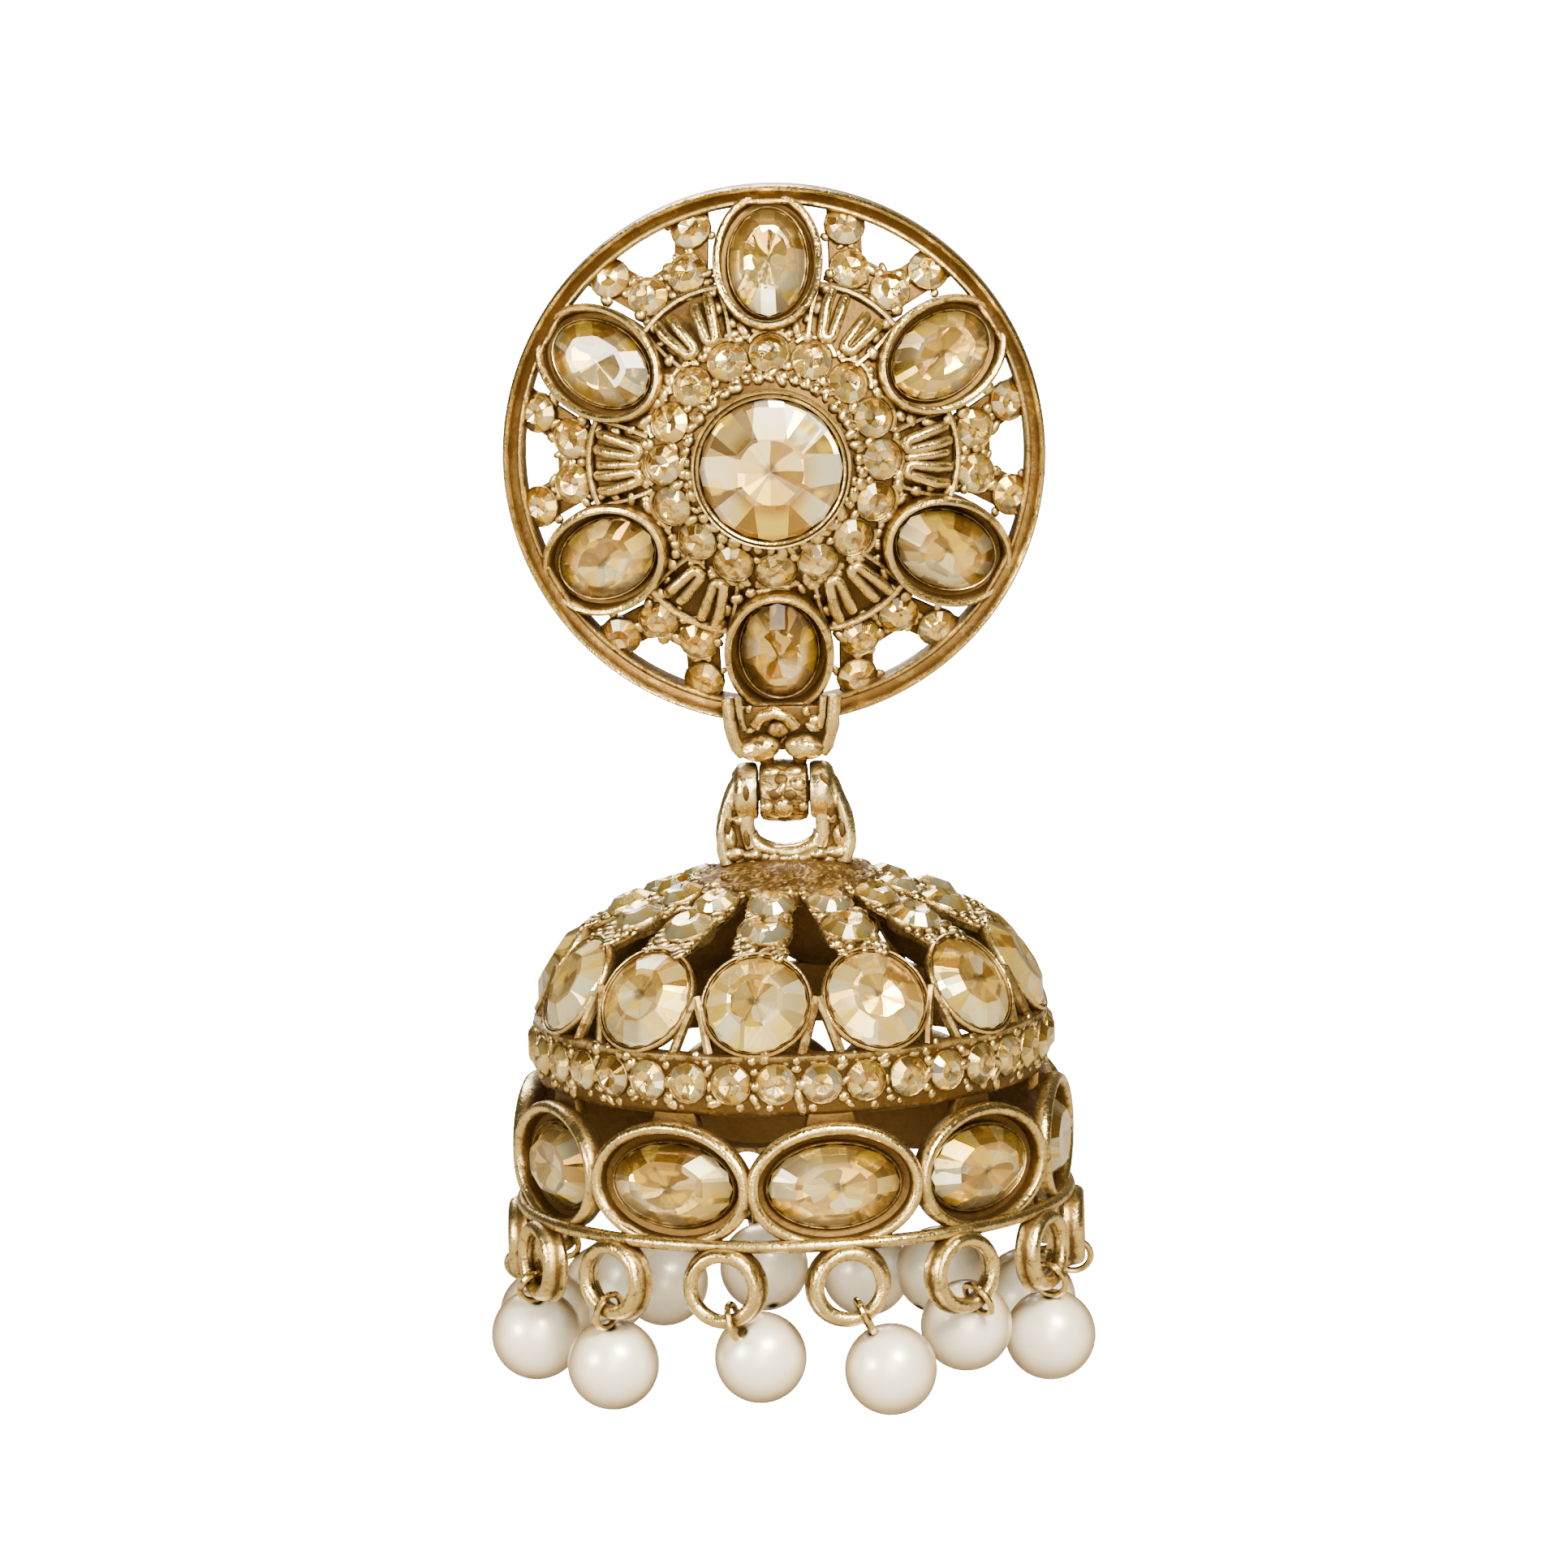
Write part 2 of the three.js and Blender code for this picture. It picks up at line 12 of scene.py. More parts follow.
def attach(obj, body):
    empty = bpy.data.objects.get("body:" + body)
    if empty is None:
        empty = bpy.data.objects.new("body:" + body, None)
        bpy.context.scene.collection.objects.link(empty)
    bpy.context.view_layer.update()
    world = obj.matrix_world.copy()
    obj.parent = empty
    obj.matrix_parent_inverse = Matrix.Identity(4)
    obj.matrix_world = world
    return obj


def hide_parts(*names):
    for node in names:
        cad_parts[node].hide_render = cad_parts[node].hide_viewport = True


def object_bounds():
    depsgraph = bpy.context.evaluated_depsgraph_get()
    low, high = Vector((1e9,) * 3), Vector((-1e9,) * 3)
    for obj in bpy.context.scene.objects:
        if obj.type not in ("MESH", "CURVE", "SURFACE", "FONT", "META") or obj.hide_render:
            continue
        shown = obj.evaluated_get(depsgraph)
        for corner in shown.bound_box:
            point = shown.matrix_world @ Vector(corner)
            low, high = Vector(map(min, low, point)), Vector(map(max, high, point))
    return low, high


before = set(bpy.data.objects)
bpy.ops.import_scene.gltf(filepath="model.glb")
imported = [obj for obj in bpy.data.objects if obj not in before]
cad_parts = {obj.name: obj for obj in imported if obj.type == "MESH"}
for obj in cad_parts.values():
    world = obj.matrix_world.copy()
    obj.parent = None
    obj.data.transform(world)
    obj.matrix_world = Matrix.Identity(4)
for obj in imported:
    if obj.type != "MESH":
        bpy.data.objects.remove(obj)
cad_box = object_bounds()

MM = 0.001
UP = Vector((0, 0, 1))

# ---------------------------------------------------------------- sizes of the frame

STUD = {"rim_inner": 13.75, "front_at_rim": 0.6, "rise": 0.5, "metal": 0.9}
STUD_TILT = math.atan(STUD["rise"])
DOWN_SLOPE = 1 / math.cos(STUD_TILT)  # the length along the slope of one step outwards
CENTRE = {"half": 4.35, "front": 8.0}
STUD_OVAL = {"count": 6, "ring": 10.6, "long": 4.0, "short": 3.0, "proud": 0.95}
HALO = {"count": 16, "ring": 5.95}
HINGE = {"z": -18.7, "forward": 1.2}
BELL_BOTTOM = -41.6
BELL_OVAL = {"count": 10, "turn": 10, "ring": 15.0, "height": 3.5, "long": 4.8, "short": 3.45}
BAND = {"count": 36, "turn": 8, "face": 14.25, "stone_height": 9.15}
DOME = {"count": 12, "turn": -6.7, "ring": 12.7, "height": 13.3, "rise": 32, "half": 3.05}
# An arm runs between two places (ring, height), and its stones sit at two rings between them.
ARM = {"from": (11.14, 15.65), "to": (4.6, 18.2), "stones": (8.75, 6.2)}
RING = {"count": 14, "turn": 12, "ring": 15.25, "centre": -1.85, "radius": 1.93}
PEARL = {"radius": 2.51, "eye": 0.98, "reach": 3.62}
# In degrees, how far to the side each pearl's eye sits on its ring, and how far the pearl leans
# inwards below it.
PEARL_HANG = [
    (25, 12), (30, 49), (20, 10), (17, 42), (12, 14), (8, 40), (0, 12),
    (-5, 38), (-12, 12), (-17, 40), (-25, 15), (-30, 10), (-15, 20), (16, 44),
]
CHATON = 1.1  # radius of a small stone


def turns_of(row):
    """The turns, in degrees, of what repeats round an axis."""
    return [row.get("turn", 0) + i * 360 / row["count"] for i in range(row["count"])]


def ways(degrees):
    """The way each angle points, as (across, up)."""
    return [(math.cos(math.radians(d)), math.sin(math.radians(d))) for d in degrees]


def frame_at(origin, along, outward):
    """A frame at origin, Z along outward and X as near to along as it can be."""
    z = outward.normalized()
    x = (along - z * along.dot(z)).normalized()
    spot = Matrix((x, z.cross(x), z)).transposed().to_4x4()
    spot.translation = origin * MM
    return spot


def stud_point(turn, ring, height):
    """A place on the stud: turn is clockwise from the top, height is forwards."""
    t = math.radians(turn)
    return Vector((ring * math.sin(t), -height, ring * math.cos(t)))


def stud_front(ring):
    """How far forward the stud's sloping front lies at a ring."""
    return STUD["front_at_rim"] + STUD["rise"] * (STUD["rim_inner"] - ring)


def stud_frame(turn, ring, lift=0.0):
    """The frame on the stud's sloping front, X outwards and down the slope."""
    outwards = stud_point(turn, 1, 0)
    normal = outwards * math.sin(STUD_TILT) + Vector((0, -math.cos(STUD_TILT), 0))
    return frame_at(stud_point(turn, ring, stud_front(ring)) + normal * lift, outwards, normal)


def bell_point(turn, ring, height):
    """A place on the bell: turn is from the front towards the right."""
    t = math.radians(turn)
    forward = -HINGE["forward"] - ring * math.cos(t)
    return Vector((ring * math.sin(t), forward, BELL_BOTTOM + height))


def outwards_of(turn):
    """The level way out from the bell's axis."""
    return Vector((math.sin(math.radians(turn)), -math.cos(math.radians(turn)), 0))


def sideways_of(turn):
    """The level way round the bell, as its turns run."""
    return Vector((math.cos(math.radians(turn)), math.sin(math.radians(turn)), 0))


def bell_frame(turn, ring, height, rise=0.0):
    """The frame of a stone on the bell: X runs round it, Z faces out and up by rise."""
    facing = outwards_of(turn) * math.cos(math.radians(rise)) + UP * math.sin(math.radians(rise))
    return frame_at(bell_point(turn, ring, height), sideways_of(turn), facing)


def arm_frame(turn):
    """Along an arm from its dome stone to the cap, Z out of the dome."""
    start = bell_point(turn, *ARM["from"])
    along = bell_point(turn, *ARM["to"]) - start
    slope = math.atan2(ARM["to"][1] - ARM["from"][1], ARM["from"][0] - ARM["to"][0])
    return frame_at(start, along, outwards_of(turn) * math.sin(slope) + UP * math.cos(slope))


STUD_AXIS = frame_at(Vector((0, 0, 0)), Vector((1, 0, 0)), Vector((0, -1, 0)))
CENTRE_FRAME = frame_at(Vector((0, -CENTRE["front"], 0)), Vector((1, 0, 0)), Vector((0, -1, 0)))
BELL_AXIS = frame_at(bell_point(0, 0, 0), Vector((1, 0, 0)), UP)
HINGE_PLACE = Vector((0, -HINGE["forward"], HINGE["z"]))
HINGE_FRAME = frame_at(HINGE_PLACE, Vector((1, 0, 0)), Vector((0, -1, 0)))
SECTORS = [turn + 180 / STUD_OVAL["count"] for turn in turns_of(STUD_OVAL)]


# ---------------------------------------------------------------- bench work


def clear_bench():
    """Object mode with nothing selected, so that an operator acts on the new piece alone."""
    if bpy.context.mode != "OBJECT":
        bpy.ops.object.mode_set(mode="OBJECT")
    bpy.ops.object.select_all(action="DESELECT")


def take(piece, mode="OBJECT"):
    """Selects one piece alone and works on it in that mode."""
    clear_bench()
    piece.select_set(True)
    bpy.context.view_layer.objects.active = piece
    if mode != "OBJECT":
        bpy.ops.object.mode_set(mode=mode)
    return piece


def settle(piece, name):
    """Ends the work on a piece: its place goes into its mesh, its faces turn outwards."""
    take(piece, "EDIT")
    bpy.ops.mesh.select_all(action="SELECT")
    bpy.ops.mesh.normals_make_consistent(inside=False)
    clear_bench()
    take(piece)
    bpy.ops.object.transform_apply(location=True, rotation=True, scale=True)
    piece.name = piece.data.name = name
    return piece


def mark_patina_and_shade(piece, value):
    """Sets how dark the patina and the painted shade lie, one value for all or a list for every
    point.
    """
    mesh = piece.data
    layer = mesh.attributes.get("patina") or mesh.attributes.new("patina", "FLOAT", "POINT")
    values = value if isinstance(value, list) else [value] * len(mesh.vertices)
    layer.data.foreach_set("value", values)
    return piece


def smooth(piece, degrees=40):
    """Shades a piece smooth, apart from edges sharper than degrees."""
    take(piece)
    bpy.ops.object.shade_smooth_by_angle(angle=math.radians(degrees))
    return piece


def turned(name, rows, segments=48, half=(0.0, 0.0), ends="loop"):
    """A turned piece, raised row by row from a circle. A row is (out, height, patina), a heavy
    patina mark also standing for painted shade, and out is measured outwards from the half axes, so
    an oval keeps an even wall."""
    clear_bench()
    out, height, _ = rows[0]
    bpy.ops.mesh.primitive_circle_add(
        vertices=segments, radius=MM, location=(0, 0, height * MM)
    )
    piece = bpy.context.object
    bpy.ops.object.mode_set(mode="EDIT")
    bpy.ops.mesh.select_all(action="SELECT")
    size = (half[0] + out, half[1] + out)
    bpy.ops.transform.resize(value=(size[0], size[1], 1), center_override=(0, 0, 0))
    for out, height_next, _ in rows[1:]:
        rise = (height_next - height) * MM
        bpy.ops.mesh.extrude_edges_move(TRANSFORM_OT_translate={"value": (0, 0, rise)})
        grown = (half[0] + out, half[1] + out)
        bpy.ops.transform.resize(
            value=(grown[0] / size[0], grown[1] / size[1], 1), center_override=(0, 0, 0)
        )
        size, height = grown, height_next
    bpy.ops.object.mode_set(mode="OBJECT")
    mark_patina_and_shade(piece, [row[2] for row in rows for _ in range(segments)])
    bpy.ops.object.mode_set(mode="EDIT")
    bpy.ops.mesh.select_mode(type="EDGE")
    bpy.ops.mesh.select_all(action="DESELECT")
    bpy.ops.mesh.select_non_manifold()
    if ends == "loop":
        bpy.ops.mesh.bridge_edge_loops()
    else:
        bpy.ops.mesh.fill_holes(sides=0)
    return smooth(settle(piece, name))


def drawn(points):
    """An open chain of edges drawn point by point from a plane merged to one corner."""
    clear_bench()
    first = Vector(points[0]) * MM
    bpy.ops.mesh.primitive_plane_add(size=MM, location=first)
    piece = bpy.context.object
    bpy.ops.object.mode_set(mode="EDIT")
    bpy.ops.mesh.select_mode(type="VERT")
    bpy.ops.mesh.select_all(action="SELECT")
    bpy.ops.mesh.merge(type="CENTER")
    for here, there in zip(points, points[1:]):
        step = (Vector(there) - Vector(here)) * MM
        bpy.ops.mesh.extrude_region_move(TRANSFORM_OT_translate={"value": step})
    return piece


def wire(name, points, radius, sides=8, closed=False, patina=0.0):
    """A round wire along points."""
    piece = drawn(points)
    if closed:
        bpy.ops.mesh.select_all(action="SELECT")
        bpy.ops.mesh.edge_face_add()
        bpy.ops.mesh.delete(type="ONLY_FACE")
    bpy.ops.object.mode_set(mode="OBJECT")
    bpy.ops.object.transform_apply(location=True)
    bpy.ops.object.convert(target="CURVE")
    line = bpy.context.object
    line.data.dimensions = "3D"
    line.data.bevel_depth = radius * MM
    line.data.bevel_resolution = max(0, sides // 2 - 2)
    line.data.use_fill_caps = True
    bpy.ops.object.convert(target="MESH")
    return smooth(mark_patina_and_shade(settle(bpy.context.object, name), patina))


def plate(name, outline, low, high, bevel=0.0, patina=0.0):
    """A flat plate with that outline in the XY plane, from low to high."""
    piece = drawn([(x, y, low) for x, y in outline])
    bpy.ops.mesh.select_all(action="SELECT")
    bpy.ops.mesh.edge_face_add()
    bpy.ops.mesh.extrude_region_move(
        TRANSFORM_OT_translate={"value": (0, 0, (high - low) * MM)}
    )
    if bevel:
        bpy.ops.mesh.select_all(action="SELECT")
        bpy.ops.mesh.bevel(offset=bevel * MM, segments=2, affect="EDGES")
    return smooth(mark_patina_and_shade(settle(piece, name), patina))


def bead(name, radius, segments=8, rings=6, squash=(1, 1, 1), patina=0.0):
    """A bead, or with squash a lobe."""
    clear_bench()
    bpy.ops.mesh.primitive_uv_sphere_add(segments=segments, ring_count=rings, radius=radius * MM)
    piece = bpy.context.object
    bpy.ops.object.mode_set(mode="EDIT")
    bpy.ops.mesh.select_all(action="SELECT")
    bpy.ops.transform.resize(value=squash, center_override=(0, 0, 0))
    return smooth(mark_patina_and_shade(settle(piece, name), patina), 80)


def cast_lumpy(piece, size, depth):
    """Makes a piece uneven, as a casting is: lumps of that size and depth."""
    take(piece, "EDIT")
    bpy.ops.mesh.select_all(action="SELECT")
    bpy.ops.mesh.subdivide(number_cuts=1)
    bpy.ops.object.mode_set(mode="OBJECT")
    lumps = bpy.data.textures.new("lumps", "CLOUDS")
    lumps.noise_scale = size * MM
    pushed = piece.modifiers.new("lumps", "DISPLACE")
    pushed.texture, pushed.texture_coords = lumps, "LOCAL"
    pushed.strength, pushed.mid_level = depth * MM, 0.5
    bpy.ops.object.modifier_apply(modifier="lumps")
    return piece


def mottle(piece, seed, marks):
    """Flecks of patina and of bare metal, one of the marks for each point. Subdividing numbers a
    piece's points differently from run to run, so the flecks fall a little differently too."""
    chance = random.Random(seed)
    return mark_patina_and_shade(piece, [chance.choice(marks) for _ in piece.data.vertices])


def placed(piece, spot, name=None):
    """A copy of a piece, with its own mesh, in another frame."""
    copy = piece.copy()
    copy.data = piece.data.copy()
    copy.data.transform(spot)
    bpy.context.scene.collection.objects.link(copy)
    if name:
        copy.name = copy.data.name = name
    return copy


def at(x, y, z, turn=0.0):
    """A place in a local frame, in millimetres, turned about its Z in degrees."""
    return Matrix.Translation(Vector((x, y, z)) * MM) @ Matrix.Rotation(math.radians(turn), 4, "Z")


def discard(*pieces):
    """Removes the patterns that copies were made from."""
    for piece in pieces:
        bpy.data.objects.remove(piece)


def joined(name, pieces):
    """Several pieces made one, under that name."""
    clear_bench()
    for piece in pieces:
        piece.select_set(True)
    bpy.context.view_layer.objects.active = pieces[0]
    bpy.ops.object.join()
    whole = bpy.context.object
    whole.name = whole.data.name = name
    return whole


def dress(piece, material, body, slot, *nodes):
    """Gives a piece its finish and its body, and hides the CAD nodes that it stands for."""
    piece.data.materials.clear()
    piece.data.materials.append(material)
    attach(piece, body)
    if nodes:
        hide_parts(*nodes)
    return piece


# ---------------------------------------------------------------- finishes


def wired(tree, kind, values=(), **settings):
    """A node with its settings, and its inputs set or linked."""
    node = tree.nodes.new(kind)
    for key, value in settings.items():
        setattr(node, key, value)
    for key, value in dict(values).items():
        if isinstance(value, bpy.types.NodeSocket):
            tree.links.new(value, node.inputs[key])
        else:
            node.inputs[key].default_value = value
    return node


def number_of(tree, operation, *values, **settings):
    """What a Math node makes of the values."""
    node = wired(tree, "ShaderNodeMath", enumerate(values), operation=operation, **settings)
    return node.outputs["Value"]


def vector_of(tree, operation, *values):
    """What a Vector Math node makes of the values."""
    node = wired(tree, "ShaderNodeVectorMath", enumerate(values), operation=operation)
    return node.outputs["Value" if operation in ("LENGTH", "DISTANCE") else "Vector"]


def brought(tree, value, low, high, to_low=0.0, to_high=1.0):
    """A value that runs from low to high, brought to run from to_low to to_high."""
    reach = {"From Min": low, "From Max": high, "To Min": to_low, "To Max": to_high}
    return wired(tree, "ShaderNodeMapRange", {"Value": value, **reach}).outputs["Result"]


def clouds(tree, place, scale, detail, roughness=0.5):
    """Cloudy unevenness over places."""
    look = {"Scale": scale, "Detail": detail, "Roughness": roughness}
    return wired(tree, "ShaderNodeTexNoise", {"Vector": place, **look}).outputs


def blended(tree, share, one, other, blend="MIX"):
    """One colour with a share of another blended in."""
    colours = {"Factor": share, "A": one, "B": other}
    node = wired(tree, "ShaderNodeMix", colours, data_type="RGBA", blend_type=blend)
    return node.outputs["Result"]


def graded(tree, value, stops):
    """A value's colour on a scale of stops, each (place, colour)."""
    node = wired(tree, "ShaderNodeValToRGB", {"Fac": value})
    points = node.color_ramp.elements
    while len(points) < len(stops):
        points.new(0.5)
    for point, (place, colour) in zip(points, stops):
        point.position = place
        point.color = (*colour, 1)
    return node.outputs["Color"]


def feed(tree, node, results):
    """Leads each result into the input of that name."""
    for label, result in results.items():
        tree.links.new(result, node.inputs[label])


def shared_effect(name, inputs, outputs):
    """A node group with named sockets, and what comes in through them."""
    group = bpy.data.node_groups.new(name, "ShaderNodeTree")
    for way, sockets in (("INPUT", inputs), ("OUTPUT", outputs)):
        for label, kind in sockets.items():
            group.interface.new_socket(label, in_out=way, socket_type=f"NodeSocket{kind}")
    return group, group.nodes.new("NodeGroupInput").outputs


def new_finish(name, constants):
    """A new material, its tree and its shader, with the constants on the shader's own inputs."""
    material = bpy.data.materials.new(name)
    material.use_nodes = True
    shader = material.node_tree.nodes["Principled BSDF"]
    for label, value in constants.items():
        shader.inputs[label].default_value = value
    return material, material.node_tree, shader


# Near black for heavily marked metal: deep patina, and painted shade inside and behind.
DEEP_PATINA_AND_SHADE = (0.09, 0.054, 0.02)


def antique_wear():
    """Brown patina in the hollows and in cloudy patches, with the grain of cast metal; where marked
    heavily, near black for deep patina and painted shade inside and behind.
    """
    group, given = shared_effect(
        "antique wear",
        {"Bright": "Color", "Dark": "Color", "Stain": "Float", "Bare Roughness": "Float"},
        {"Color": "Color", "Roughness": "Float", "Height": "Float"},
    )
    place = wired(group, "ShaderNodeTexCoord").outputs["Object"]
    mark = wired(group, "ShaderNodeAttribute", attribute_name="patina").outputs["Fac"]
    # Patches about a millimetre wide, pits half as wide, and a fine grain.
    patches = clouds(group, place, 900.0, 3.0, 0.6)["Fac"]
    pits = clouds(group, place, 1700.0, 4.0, 0.75)["Fac"]
    grain = clouds(group, place, 5200.0, 2.0)["Fac"]
    hollow = wired(group, "ShaderNodeAmbientOcclusion", {"Distance": 0.9 * MM}, samples=6)
    in_hollow = brought(group, hollow.outputs["AO"], 0.97, 0.35, 0.0, 0.85)
    in_patch = brought(group, patches, 0.4, 0.75, -0.1, 0.42)
    in_pit = brought(group, pits, 0.53, 0.67, 0.0, 0.68)
    marked = number_of(group, "ADD", mark, given["Stain"])
    pitted = number_of(group, "ADD", marked, in_pit)
    patched = number_of(group, "ADD", pitted, in_patch)
    deep = number_of(group, "ADD", patched, in_hollow, use_clamp=True)
    colour = blended(group, deep, given["Bright"], given["Dark"])
    # A heavy mark makes the metal near black: deep patina in the hollows, and painted shade inside
    # and behind.
    deep_patina_and_shade_share = brought(group, mark, 0.8, 1.5, 0.0, 0.85)
    # Patina is duller than polished metal.
    dull = number_of(group, "MULTIPLY_ADD", deep, 0.36, given["Bare Roughness"])
    uneven = number_of(group, "ADD", patches, pits)
    end = group.nodes.new("NodeGroupOutput")
    feed(group, end, {
        "Color": blended(group, deep_patina_and_shade_share, colour, (*DEEP_PATINA_AND_SHADE, 1)),
        "Roughness": number_of(group, "MULTIPLY_ADD", grain, 0.12, dull),
        "Height": number_of(group, "MULTIPLY_ADD", grain, 0.25, uneven),
    })
    return group


WEAR = antique_wear()


def metal(name, bright, dark, stain_more, roughness, bump):
    """Worn gold: its two colours, more or less patina, its roughness where bare, its relief."""
    material, tree, shader = new_finish(name, {"Metallic": 1.0})
    wear = wired(
        tree, "ShaderNodeGroup",
        {"Bright": (*bright, 1), "Dark": (*dark, 1), "Stain": stain_more,
         "Bare Roughness": roughness},
        node_tree=WEAR,
    ).outputs
    relief = wired(
        tree, "ShaderNodeBump",
        {"Strength": bump, "Distance": 0.06 * MM, "Height": wear["Height"]},
    )
    feed(tree, shader, {
        "Base Color": wear["Color"],
        "Roughness": wear["Roughness"],
        "Normal": relief.outputs["Normal"],
    })
    return material


BRIGHT_GOLD = (0.92, 0.71, 0.3)
BROWN_PATINA = (0.125, 0.07, 0.021)
worn_gold = metal("worn antique gold", BRIGHT_GOLD, BROWN_PATINA, 0.07, 0.1, 0.9)
dark_gold = metal("dark antique gold", (0.68, 0.47, 0.17), (0.1, 0.055, 0.016), 0.24, 0.26, 1.2)
cast_gold = metal("bright cast gold", (0.98, 0.8, 0.4), BROWN_PATINA, -0.02, 0.12, 0.8)
wire_gold = metal("gold wire", (0.86, 0.65, 0.24), BROWN_PATINA, -0.05, 0.12, 0.1)

# Painted light of the facets: what a facet gives back, from the light through the table to the
# shade of the pavilion.
SNOW, WHITE, CREAM = (1.0, 0.97, 0.88), (1.0, 0.91, 0.62), (1.0, 0.74, 0.26)
GOLD, CHAMPAGNE, TAN = (1.0, 0.7, 0.11), (0.64, 0.385, 0.07), (0.31, 0.16, 0.022)
GREY, BROWN = (0.22, 0.15, 0.07), (0.14, 0.068, 0.01)
# The colours of a painted glint and of a painted glow low in a stone.
PAINTED_GLINT_AMBER, PAINTED_LOW_GLOW = (1.0, 0.66, 0.04), (1.0, 0.8, 0.1)
# What sets one cut's painted light apart: the wedges round its pavilion, the steps from its middle
# outwards, how far it bends them, how dark and how clearly they show, the painted shade at its
# girdle and its painted low glow.
CUT = ("Wedges", "Steps", "Bend", "Depth", "Show Through", "Painted Girdle Shade", "Painted Glow")


def cut_crystal():
    """Foiled champagne crystal, its light painted. The attribute painted_facet_light holds the
    light and shade painted on each facet. The attribute gem is the place across the stone, from
    which the painted wedges of the pavilion are worked out, as one sees them, bent a little,
    through the table."""
    group, given = shared_effect(
        "cut crystal", {label: "Float" for label in CUT}, {"Color": "Color", "Normal": "Vector"}
    )
    # The light and shade painted on each facet.
    facet = wired(group, "ShaderNodeAttribute", attribute_name="painted_facet_light").outputs["Color"]
    gem = wired(group, "ShaderNodeAttribute", attribute_name="gem").outputs["Vector"]
    here = wired(group, "ShaderNodeSeparateXYZ", {0: gem}).outputs
    sway = vector_of(group, "SUBTRACT", clouds(group, gem, 1.9, 1.0)["Color"], (0.5, 0.5, 0.5))
    bend = wired(group, "ShaderNodeCombineXYZ", {"X": given["Bend"], "Y": given["Bend"]})
    bent = vector_of(group, "MULTIPLY_ADD", sway, bend.outputs["Vector"], gem)
    across = wired(group, "ShaderNodeSeparateXYZ", {0: bent}).outputs
    out = vector_of(group, "LENGTH", vector_of(group, "MULTIPLY", bent, (1.0, 1.0, 0.0)))
    # The pavilion's rows of wedges, each row turned by half a wedge, and a chance for each.
    row = number_of(group, "FLOOR", number_of(group, "MULTIPLY", out, given["Steps"]))
    angle = number_of(group, "ARCTAN2", across["Y"], across["X"])
    turns = number_of(group, "MULTIPLY", angle, 1 / math.tau)
    half_wedge = number_of(group, "MULTIPLY", row, 0.5)
    sector = number_of(group, "MULTIPLY_ADD", turns, given["Wedges"], half_wedge)
    wedge = number_of(group, "FLOOR", sector)
    cell = wired(group, "ShaderNodeCombineXYZ", {"X": wedge, "Y": row, "Z": here["Z"]})
    chance = wired(group, "ShaderNodeTexWhiteNoise", {"Vector": cell.outputs["Vector"]}).outputs
    # Painted light: the lower side of a stone is painted paler, as it sends more of the light back.
    lit = number_of(group, "MULTIPLY_ADD", here["Y"], -0.22, chance["Value"], use_clamp=True)
    seen = graded(
        group, number_of(group, "SUBTRACT", lit, given["Depth"]),
        [(0.0, BROWN), (0.17, TAN), (0.42, CHAMPAGNE), (0.66, CREAM), (0.88, WHITE)],
    )
    # Painted reflection: through the table one sees the painted pavilion, beside it the painted
    # light of the crown's facets.
    beside_table = number_of(group, "MULTIPLY", given["Show Through"], 0.35)
    through = brought(group, out, 0.5, 0.72, given["Show Through"], beside_table)
    mixed = blended(group, through, facet, seen)
    # Painted amber glints, here and there.
    painted_glint = brought(group, clouds(group, gem, 2.3, 0.0)["Fac"], 0.64, 0.7, 0.0, 0.8)
    with_painted_glints = blended(group, painted_glint, mixed, (*PAINTED_GLINT_AMBER, 1))
    # A painted glow low in the stone.
    flat_place = vector_of(group, "MULTIPLY", gem, (1.0, 1.0, 0.0))
    from_glow = vector_of(group, "DISTANCE", flat_place, (-0.05, -0.6, 0.0))
    painted_glow = brought(group, from_glow, 0.2, 0.75, given["Painted Glow"], 0.0)
    with_painted_glow = blended(group, painted_glow, with_painted_glints, (*PAINTED_LOW_GLOW, 1), "MULTIPLY")
    # Painted shade towards the girdle.
    reach = vector_of(group, "LENGTH", flat_place)
    painted_girdle_shade = brought(group, reach, 0.5, 1.0, 1.0, given["Painted Girdle Shade"])
    with_painted_girdle_shade = blended(group, 1.0, with_painted_glow, painted_girdle_shade, "MULTIPLY")
    # Painted shade at the point of the pavilion.
    painted_point_shade = brought(group, out, 0.07, 0.15, 0.3, 1.0)
    # Every wedge leans its own way, and so mirrors another part of the room.
    straight = wired(group, "ShaderNodeNewGeometry").outputs["Normal"]
    leaning = vector_of(group, "MULTIPLY_ADD", chance["Color"], (0.5, 0.5, 0.5), straight)
    level = vector_of(group, "SUBTRACT", leaning, (0.25, 0.25, 0.25))
    end = group.nodes.new("NodeGroupOutput")
    feed(group, end, {
        "Color": blended(group, 1.0, with_painted_girdle_shade, painted_point_shade, "MULTIPLY"),
        "Normal": vector_of(group, "NORMALIZE", level),
    })
    return group


CRYSTAL = cut_crystal()


def crystal(name, roughness, mirror, cut):
    """A crystal with the values of its cut, in the order of CUT."""
    coated = {"IOR": 1.6, "Coat Weight": 1.0, "Coat Roughness": 0.02}
    material, tree, shader = new_finish(
        name, {"Metallic": mirror, "Roughness": roughness, **coated}
    )
    stone = wired(tree, "ShaderNodeGroup", zip(CUT, cut), node_tree=CRYSTAL).outputs
    feed(tree, shader, {"Base Color": stone["Color"], "Normal": stone["Normal"]})
    return material


clear_crystal = crystal(
    "clear champagne crystal", 0.12, 0.65, (8.0, 2.2, 0.12, 0.1, 0.95, 0.9, 1.35)
)
big_crystal = crystal("champagne crystal", 0.14, 0.7, (8.0, 2.2, 0.35, 0.0, 0.65, 0.8, 0.0))
oval_crystal = crystal(
    "deep champagne crystal", 0.14, 0.82, (8.0, 2.0, 0.55, 0.0, 0.75, 0.4, 0.0)
)
small_crystal = crystal(
    "small champagne crystal", 0.16, 0.88, (6.0, 1.8, 0.55, 0.0, 0.5, 0.55, 0.0)
)


